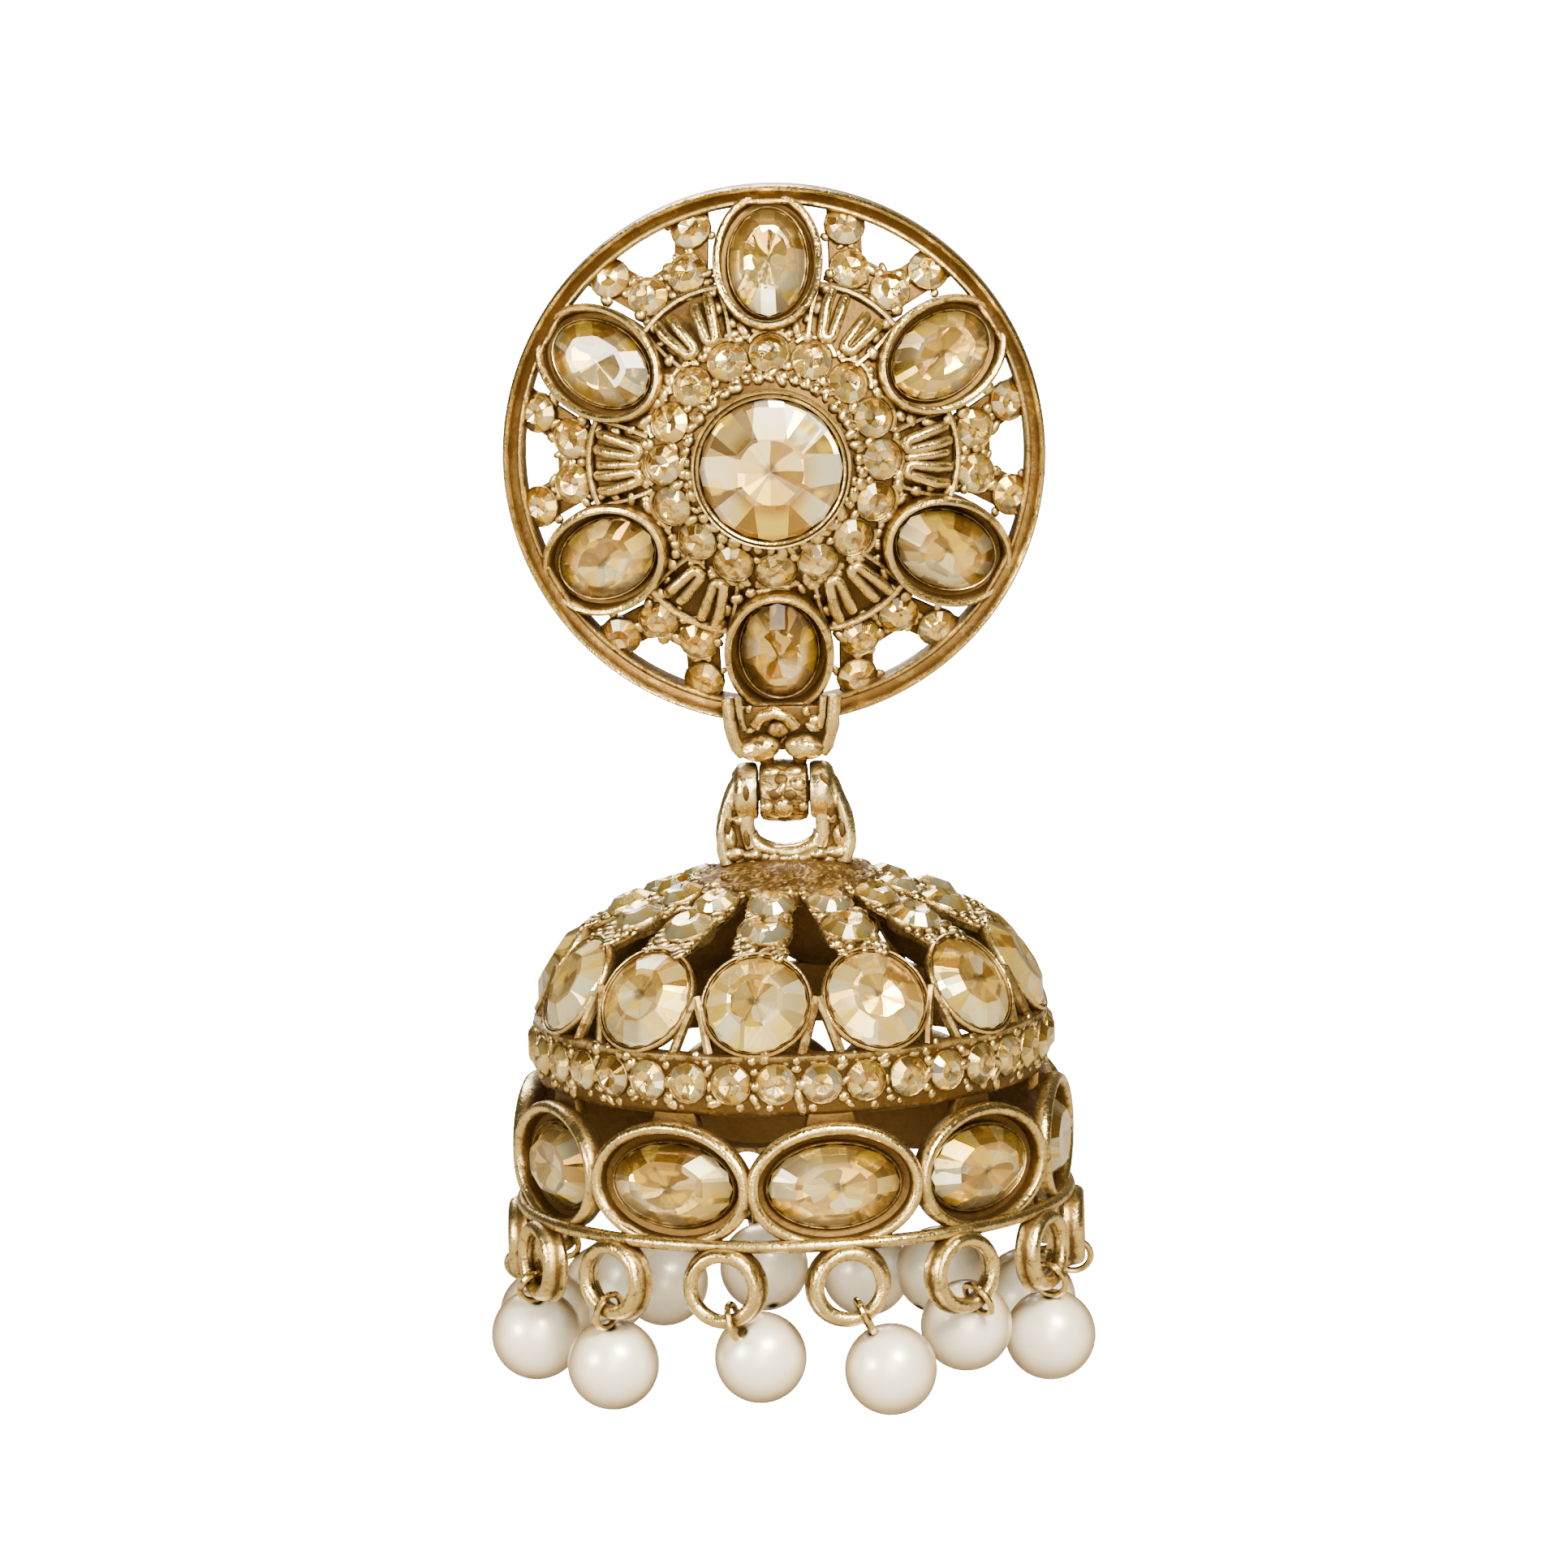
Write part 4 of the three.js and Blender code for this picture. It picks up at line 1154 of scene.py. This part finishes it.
ARM_LENGTH = math.hypot(ARM["from"][0] - ARM["to"][0], ARM["to"][1] - ARM["from"][1])
ARM_COS = (ARM["from"][0] - ARM["to"][0]) / ARM_LENGTH
arm_bar = plate(
    "arm bar", [(-0.2, -1.15), (ARM_LENGTH, -0.95), (ARM_LENGTH, 0.95), (-0.2, 1.15)],
    -0.75, -0.15, 0.08, 0.8,
)
beside_arm = [(x * 0.62, side * (1.17 - 0.02 * x)) for side in (-1, 1) for x in range(11)]
on_arm = [(0.75, 0.5), (0.55, -0.3), (0.9, -0.7), (0.2, 0.8), (0.15, -0.8)]
arm_edges = joined(
    "arm edges",
    [wire("arm edge", [(-0.4, y, -0.3), (ARM_LENGTH * 0.5, y * 0.95, -0.25),
                       (ARM_LENGTH, y * 0.85, -0.3)], 0.13, 6, patina=0.35)
     for y in (-1.2, 1.2)]
    + grains([at(x, y, -0.1) for x, y in beside_arm + on_arm], "arm"),
)
arm_spots = [
    arm_frame(turn) @ at((ARM["from"][0] - ring) / ARM_COS, 0, 0.05) @ Matrix.Scale(grown, 4)
    for turn in turns_of(DOME)
    for ring, grown in zip(ARM["stones"], (1.35, 1.15))
]
arm_cups, arm_stones = setting(
    arm_spots, "arm_settings", "arm_stones",
    [(1.05, 0.8, -0.05), (1.05, -0.8, -0.05), (-1.0, 0.75, -0.1), (-1.0, -0.75, -0.1)],
)
band_spots = [
    bell_frame(turn, BAND["face"] - 0.1, BAND["stone_height"]) for turn in turns_of(BAND)
]
band_cups, band_stones = setting(
    band_spots, "band_settings", "band_stones",
    [(1.24, 0.8, -0.12), (1.24, -0.8, -0.12), (1.1, 1.24, -0.15), (1.45, -1.2, -0.2),
     (0.45, 1.3, -0.2), (-0.45, 1.3, -0.2), (0.42, -1.28, -0.25), (-0.42, -1.28, -0.25),
     (1.24, 0.0, -0.1)],
)

STRUT = [(0.0, 12.75, 13.6), (0.55, 13.2, 12.2), (1.0, 13.75, 10.6)]  # (lean, ring, height)


def struts(turn):
    """An inverted V from where two dome cups meet down to the band."""
    lines = [[bell_point(turn + lean * share, ring, height) for share, ring, height in STRUT]
             for lean in (-4.5, 4.5)]
    return [wire("strut", line, 0.32, 8, patina=0.6) for line in lines]


half_step = 180 / DOME["count"]
strut_wires = [leg for turn in turns_of(DOME) for leg in struts(turn + half_step)]


def lobe(middle, height, radius, degrees):
    """Part of a round section, a bright row for each of the degrees."""
    return [(middle + radius * x, height + radius * y, 0.0) for x, y in ways(degrees)]


hanging = turned(
    "hanging ring",
    lobe(RING["radius"] - 0.12, 0.3, 0.4, range(10, 200, 36))
    + [(RING["radius"] - 0.42, 0.0, 1.0)]
    + lobe(RING["radius"] + 0.05, -0.3, 0.42, range(170, 370, 36))
    + [(RING["radius"] + 0.34, 0.0, 1.0)],
    segments=40,
)
rings = [
    placed(hanging, bell_frame(turn, RING["ring"], RING["centre"])) for turn in turns_of(RING)
]


def bail_parts():
    """The bail: two arms with a bright ridge on each side of a slot darkened with painted shade,
    the round of the eye under the barrel, and a bumpy foot on the cap. X is across, Y up, from the
    hinge."""
    outer_line = [
        (3.6, -3.95), (3.78, -3.2), (3.85, -2.3), (3.72, -1.5), (3.45, -0.7), (3.1, 0.1),
        (2.8, 0.7), (2.45, 1.2),
    ]
    inner_line = [(1.72, 1.2), (1.72, -0.6), (1.7, -1.9)]
    eye_arc = [(1.68 * x, -2.15 - 1.05 * y) for x, y in ways(range(0, 181, 15))]
    outline = (outer_line + inner_line + eye_arc
               + [(-x, y) for x, y in reversed(outer_line + inner_line)])
    parts = [plate("yoke", outline, -0.7, 0.5, 0.0, 0.85)]
    # Lumps of the casting on each arm, as (x, y, radius, squash).
    lump_rows = (
        (2.3, 0.85, 0.5, (1.1, 1.0, 1.1)), (3.0, -2.5, 0.5, (0.8, 1.4, 1.1)),
        (2.8, -3.4, 0.55, (1.25, 0.8, 1.0)), (2.85, -0.5, 0.42, (0.9, 1.2, 1.1)),
        (2.5, -1.5, 0.42, (1.0, 0.9, 1.2)), (1.8, -3.5, 0.5, (1.3, 0.8, 1.0)),
    )
    lumps = [bead("lump", radius, 16, 10, squash, 0.05) for _, _, radius, squash in lump_rows]
    knots = ((3.25, -1.5), (2.45, 0.1), (3.2, -3.75), (2.35, -3.8), (1.7, -3.85), (1.2, -3.7),
             (0.6, -3.75), (0.1, -3.8))
    for face in (1, -1):
        low_arc = [(1.14 * x, y - 0.2, 0.45 * face) for x, y in eye_arc]
        parts.append(wire("eye ridge", low_arc, 0.4, 10, patina=0.05))
    for side in (-1, 1):
        outer = [(side * (x - 0.36), y, 0.5) for x, y in outer_line[:-1]]
        parts.append(wire("outer ridge", outer, 0.4, 12))
        parts.append(wire("back ridge", [(x, y, -z) for x, y, z in outer], 0.4, 12, patina=0.15))
        inner = [(side * x, y, z) for x, y, z in
                 ((1.95, 1.0, 0.45), (1.95, 0.4, 0.7), (2.02, -0.6, 0.7), (2.12, -1.6, 0.6),
                  (2.1, -2.4, 0.55), (1.9, -3.0, 0.45))]
        parts.append(wire("inner ridge", inner, 0.42, 12))
        for lump, (x, y, _, _) in zip(lumps, lump_rows):
            parts.append(placed(lump, at(side * x, y, 0.5 if y < 0.5 else 0.0)))
        parts += grains([at(side * x, y, 0.6) for x, y in knots], f"bail {side}")
    # Round each end of the bar an eyelet stands beside the barrel.
    eyelet = turned(
        "eyelet",
        [(0.4, 1.43, 1.0), (1.4, 1.43, 0.8), (1.54, 1.5, 0.2), (1.6, 1.7, 0.0),
         (1.62, 2.2, 0.0), (1.53, 2.5, 0.05), (1.22, 2.72, 0.3), (0.4, 2.8, 0.6)],
        segments=28, ends="floor",
    )
    eyelets = [placed(eyelet, Matrix.Rotation(math.radians(turn), 4, "Y")) for turn in (90, 270)]
    parts.append(wire("bar", [(-2.5, 0, 0), (0, 0, 0), (2.5, 0, 0)], 0.58, 16, patina=0.2))
    arms = cast_lumpy(joined("bail parts", parts), 0.9, 0.24)
    eyes = cast_lumpy(joined("bail eyelets", eyelets), 0.8, 0.1)
    # Flat marks, marked darkest: painted shade in the slots beside the ridges.
    slot = bead("slot", 0.3, 16, 8, (0.6, 1.5, 0.3), 1.5)
    slot_shades = [placed(slot, at(*place)) for place in (
        (-2.05, 0.15, 1.6, 0), (2.3, 0.75, 1.4, 30), (-3.12, -1.8, 1.0, 0),
        (3.15, -2.1, 1.0, 0), (-2.1, -2.5, 1.05, 10), (2.6, -1.0, 1.05, -10))]
    discard(eyelet, slot, *lumps)
    return joined("bail parts", [arms, eyes] + slot_shades)


bail = bail_parts()
bell_metal = joined(
    "bell_goldwork",
    [placed(rim_wire, BELL_AXIS), placed(hoop, BELL_AXIS)]
    + [placed(bell_cup, bell_oval_frame(turn)) for turn in turns_of(BELL_OVAL)]
    + [placed(dome_cup, dome_frame(turn)) for turn in turns_of(DOME)]
    + [placed(part, arm_frame(turn)) for part in (arm_bar, arm_edges) for turn in turns_of(DOME)]
    + [arm_cups, band_cups]
    + tabs
    + strut_wires
    + rings,
)


def crust():
    """Grains of all sizes strewn over the cap's shoulder."""
    chance = random.Random("crust")
    places = []
    for _ in range(70):
        ring, turn = chance.uniform(3.3, 5.05), chance.uniform(0, math.tau)
        # The places follow the cap's shoulder, a little below its surface.
        height = 18.85 - 0.4 * (ring - 3.2) if ring < 4.5 else 18.35 - 0.25 * (ring - 4.5)
        spot = at(ring * math.cos(turn), ring * math.sin(turn), height)
        places.append(BELL_AXIS @ spot @ Matrix.Scale(chance.uniform(0.5, 1.0), 4))
    return grains(places, "cap")


bail_placed = placed(bail, HINGE_FRAME, "bell_bail")
cap_placed = cast_lumpy(joined("bell_cap", [placed(cap, BELL_AXIS)] + crust()), 0.7, 0.26)
mottle(cap_placed, "cap flecks", (0.0, 0.3, 0.5, 0.6, 0.9, 1.2))
bell_chatons = joined("bell_small_stones", [arm_stones, band_stones])
discard(rim_wire, hoop, tab, cap, bell_cup, dome_cup, arm_bar, arm_edges, hanging, bail)

dress(bell_metal, worn_gold, "bell", "gold", "bell_frame")
dress(bail_placed, cast_gold, "bell", "gold")
dress(cap_placed, dark_gold, "bell", "gold")
dress(bell_chatons, small_crystal, "bell", "stone")

dome_half = (DOME["half"] - 0.29, DOME["half"] - 0.29)
dome_cut = brilliant("dome cut", dome_half, -0.5, -0.15, 0.62, table=0.55)
set_row(dome_cut, DOME, dome_frame, dome_half, [CHAMPAGNE_CUT] * DOME["count"], big_crystal, "bell",
        "dome_stone")
bell_half = (BELL_OVAL["long"] - 1.18, BELL_OVAL["short"] - 1.18)
bell_cut = brilliant("bell oval cut", bell_half, -1.1, -0.75, 0.15, table=0.62)
set_row(bell_cut, BELL_OVAL, bell_oval_frame, bell_half, [GOLDEN] * BELL_OVAL["count"],
        oval_crystal, "bell", "bell_oval")
discard(dome_cut, bell_cut)

# ---------------------------------------------------------------- the pearls


def pearl_ball():
    """A pearl drilled through along its Z, with a small mouth at each end, marked for painted
    shade.
    """
    clear_bench()
    bpy.ops.mesh.primitive_uv_sphere_add(segments=48, ring_count=32, radius=PEARL["radius"] * MM)
    piece = bpy.context.object
    bpy.ops.object.mode_set(mode="EDIT")
    bpy.ops.mesh.select_mode(type="FACE")
    for end in (1, -1):
        shape = bmesh.from_edit_mesh(piece.data)
        for face in shape.faces:
            middle = face.calc_center_median()
            beside = math.hypot(middle.x, middle.y) < 0.24 * MM
            face.select_set(beside and middle.z * end > 0)
        bmesh.update_edit_mesh(piece.data)
        bpy.ops.mesh.extrude_region_move(
            TRANSFORM_OT_translate={"value": (0, 0, -end * 0.35 * MM)}
        )
    settle(piece, "pearl")
    # The drill holes are marked for painted shade.
    depth = [
        1.0 if math.hypot(v.co.x, v.co.y) < 0.3 * MM else 0.0 for v in piece.data.vertices
    ]
    return smooth(mark_patina_and_shade(piece, depth))


pearl = pearl_ball()
eye = turned(
    "eye",
    [(PEARL["eye"] + 0.19 * x, 0.19 * y, 0.0) for x, y in ways(range(0, 360, 45))],
    segments=32,
)
eyes = []
for i, (turn, (side, lean)) in enumerate(zip(turns_of(RING), PEARL_HANG)):
    s, a = math.radians(side), math.radians(lean)
    away = sideways_of(turn) * math.sin(s) - UP * math.cos(s)
    wire_line = sideways_of(turn) * math.cos(s) + UP * math.sin(s)
    eye_centre = bell_point(turn, RING["ring"], RING["centre"]) + away * RING["radius"]
    hang = away * math.cos(a) - outwards_of(turn) * math.sin(a)
    ball = placed(
        pearl, frame_at(eye_centre + hang * PEARL["reach"], wire_line, -hang),
        f"pearl_{i + 1:02d}",
    )
    dress(ball, pearl_nacre, "bell", "pearl", f"pearl_drop_{i + 1:02d}")
    eyes.append(placed(eye, frame_at(eye_centre, hang, wire_line)))
pearl_eyes = joined("pearl_eyes", eyes)
dress(pearl_eyes, wire_gold, "bell", "gold")
discard(pearl, eye, small_stone, small_cup, *nuggets)

# ---------------------------------------------------------------- stage


def paper(name, shade, bright):
    """Paper that looks brightly lit to the camera, and lights the metal less."""
    material, tree, shader = new_finish(name, {"Base Color": (*shade, 1), "Roughness": 0.9})
    light = wired(tree, "ShaderNodeEmission", {"Color": (1.0, 0.995, 0.98, 1), "Strength": bright})
    path = wired(tree, "ShaderNodeLightPath")
    seen = wired(
        tree, "ShaderNodeMixShader",
        {0: path.outputs["Is Camera Ray"], 1: shader.outputs[0], 2: light.outputs[0]},
    )
    feed(tree, tree.nodes["Material Output"], {"Surface": seen.outputs[0]})
    return material


# In metres: the floor's side, its drop below the earring, the wall's height and the curve.
SWEEP = {"side": 2.4, "drop": 0.008, "wall": 1.6, "curve": 0.5}


def sweep():
    """A pale floor that curves up into a wall behind."""
    clear_bench()
    floor = cad_box[0].z - SWEEP["drop"]
    bpy.ops.mesh.primitive_plane_add(size=SWEEP["side"], location=(0, 0, floor))
    piece = bpy.context.object
    bpy.ops.object.mode_set(mode="EDIT")
    bpy.ops.mesh.select_mode(type="EDGE")
    shape = bmesh.from_edit_mesh(piece.data)
    for edge in shape.edges:
        edge.select_set(all(v.co.y > SWEEP["side"] / 4 for v in edge.verts))
    bmesh.update_edit_mesh(piece.data)
    bpy.ops.mesh.extrude_edges_move(TRANSFORM_OT_translate={"value": (0, 0, SWEEP["wall"])})
    bpy.ops.object.mode_set(mode="OBJECT")
    bend = piece.modifiers.new("curve", "BEVEL")
    bend.width, bend.segments = SWEEP["curve"], 12
    bpy.ops.object.modifier_apply(modifier="curve")
    bpy.ops.object.shade_smooth()
    bpy.ops.object.transform_apply(location=True)
    piece.name = "floor_sweep"
    piece.data.materials.append(paper("white paper", (0.31, 0.27, 0.2), 22.0))


sweep()


def area_light(name, place, power, size, colour=(1, 1, 1)):
    """A soft square light aimed at the earring's middle."""
    clear_bench()
    bpy.ops.object.light_add(type="AREA", location=place)
    light = bpy.context.object
    light.name = name
    light.data.energy, light.data.size, light.data.color = power, size, colour
    aim = Vector((0, 0, -0.02)) - Vector(place)
    light.rotation_euler = aim.to_track_quat("-Z", "Y").to_euler()


LAMPLIGHT = (1.0, 0.91, 0.66)
area_light("key", (0.2, -0.42, 0.36), 13, 0.19, LAMPLIGHT)
area_light("front", (0.06, -0.8, 0.16), 5.5, 0.45, (1.0, 0.93, 0.71))
area_light("fill", (-0.42, -0.36, 0.14), 4.8, 0.15, LAMPLIGHT)
area_light("low front", (0.1, -0.45, -0.3), 4.2, 0.14, LAMPLIGHT)
area_light("back", (-0.1, 0.45, 0.35), 4, 0.3)

world = bpy.data.worlds.new("studio")
bpy.context.scene.world = world
world.use_nodes = True
room = world.node_tree.nodes["Background"].inputs
room["Color"].default_value = (1.0, 0.84, 0.58, 1)
room["Strength"].default_value = 0.09

# ---------------------------------------------------------------- camera

# Angles in degrees, the distance in metres and the lens in millimetres.
VIEW = {"azimuth": 1.67, "elevation": 9.49, "roll": -1.69, "distance": 0.6, "lens": 250}


def camera():
    """Straight at the front, a little from above, the earring hanging slightly aslant."""
    azimuth, elevation, roll = (
        math.radians(VIEW[way]) for way in ("azimuth", "elevation", "roll")
    )
    lo, hi = cad_box
    aim = Vector((0, -1.0 * MM, (lo.z + hi.z) / 2))
    back = Vector((
        math.sin(azimuth) * math.cos(elevation),
        -math.cos(azimuth) * math.cos(elevation),
        math.sin(elevation),
    ))
    right = UP.cross(back).normalized()
    up = back.cross(right)
    turned_right = right * math.cos(roll) + up * math.sin(roll)
    turned_up = back.cross(turned_right)
    clear_bench()
    bpy.ops.object.camera_add()
    viewer = bpy.context.object
    viewer.name = "camera"
    spot = Matrix((turned_right, turned_up, back)).transposed().to_4x4()
    spot.translation = aim + back * VIEW["distance"]
    viewer.matrix_world = spot
    viewer.data.lens, viewer.data.clip_start = VIEW["lens"], 0.01
    bpy.context.scene.camera = viewer


camera()
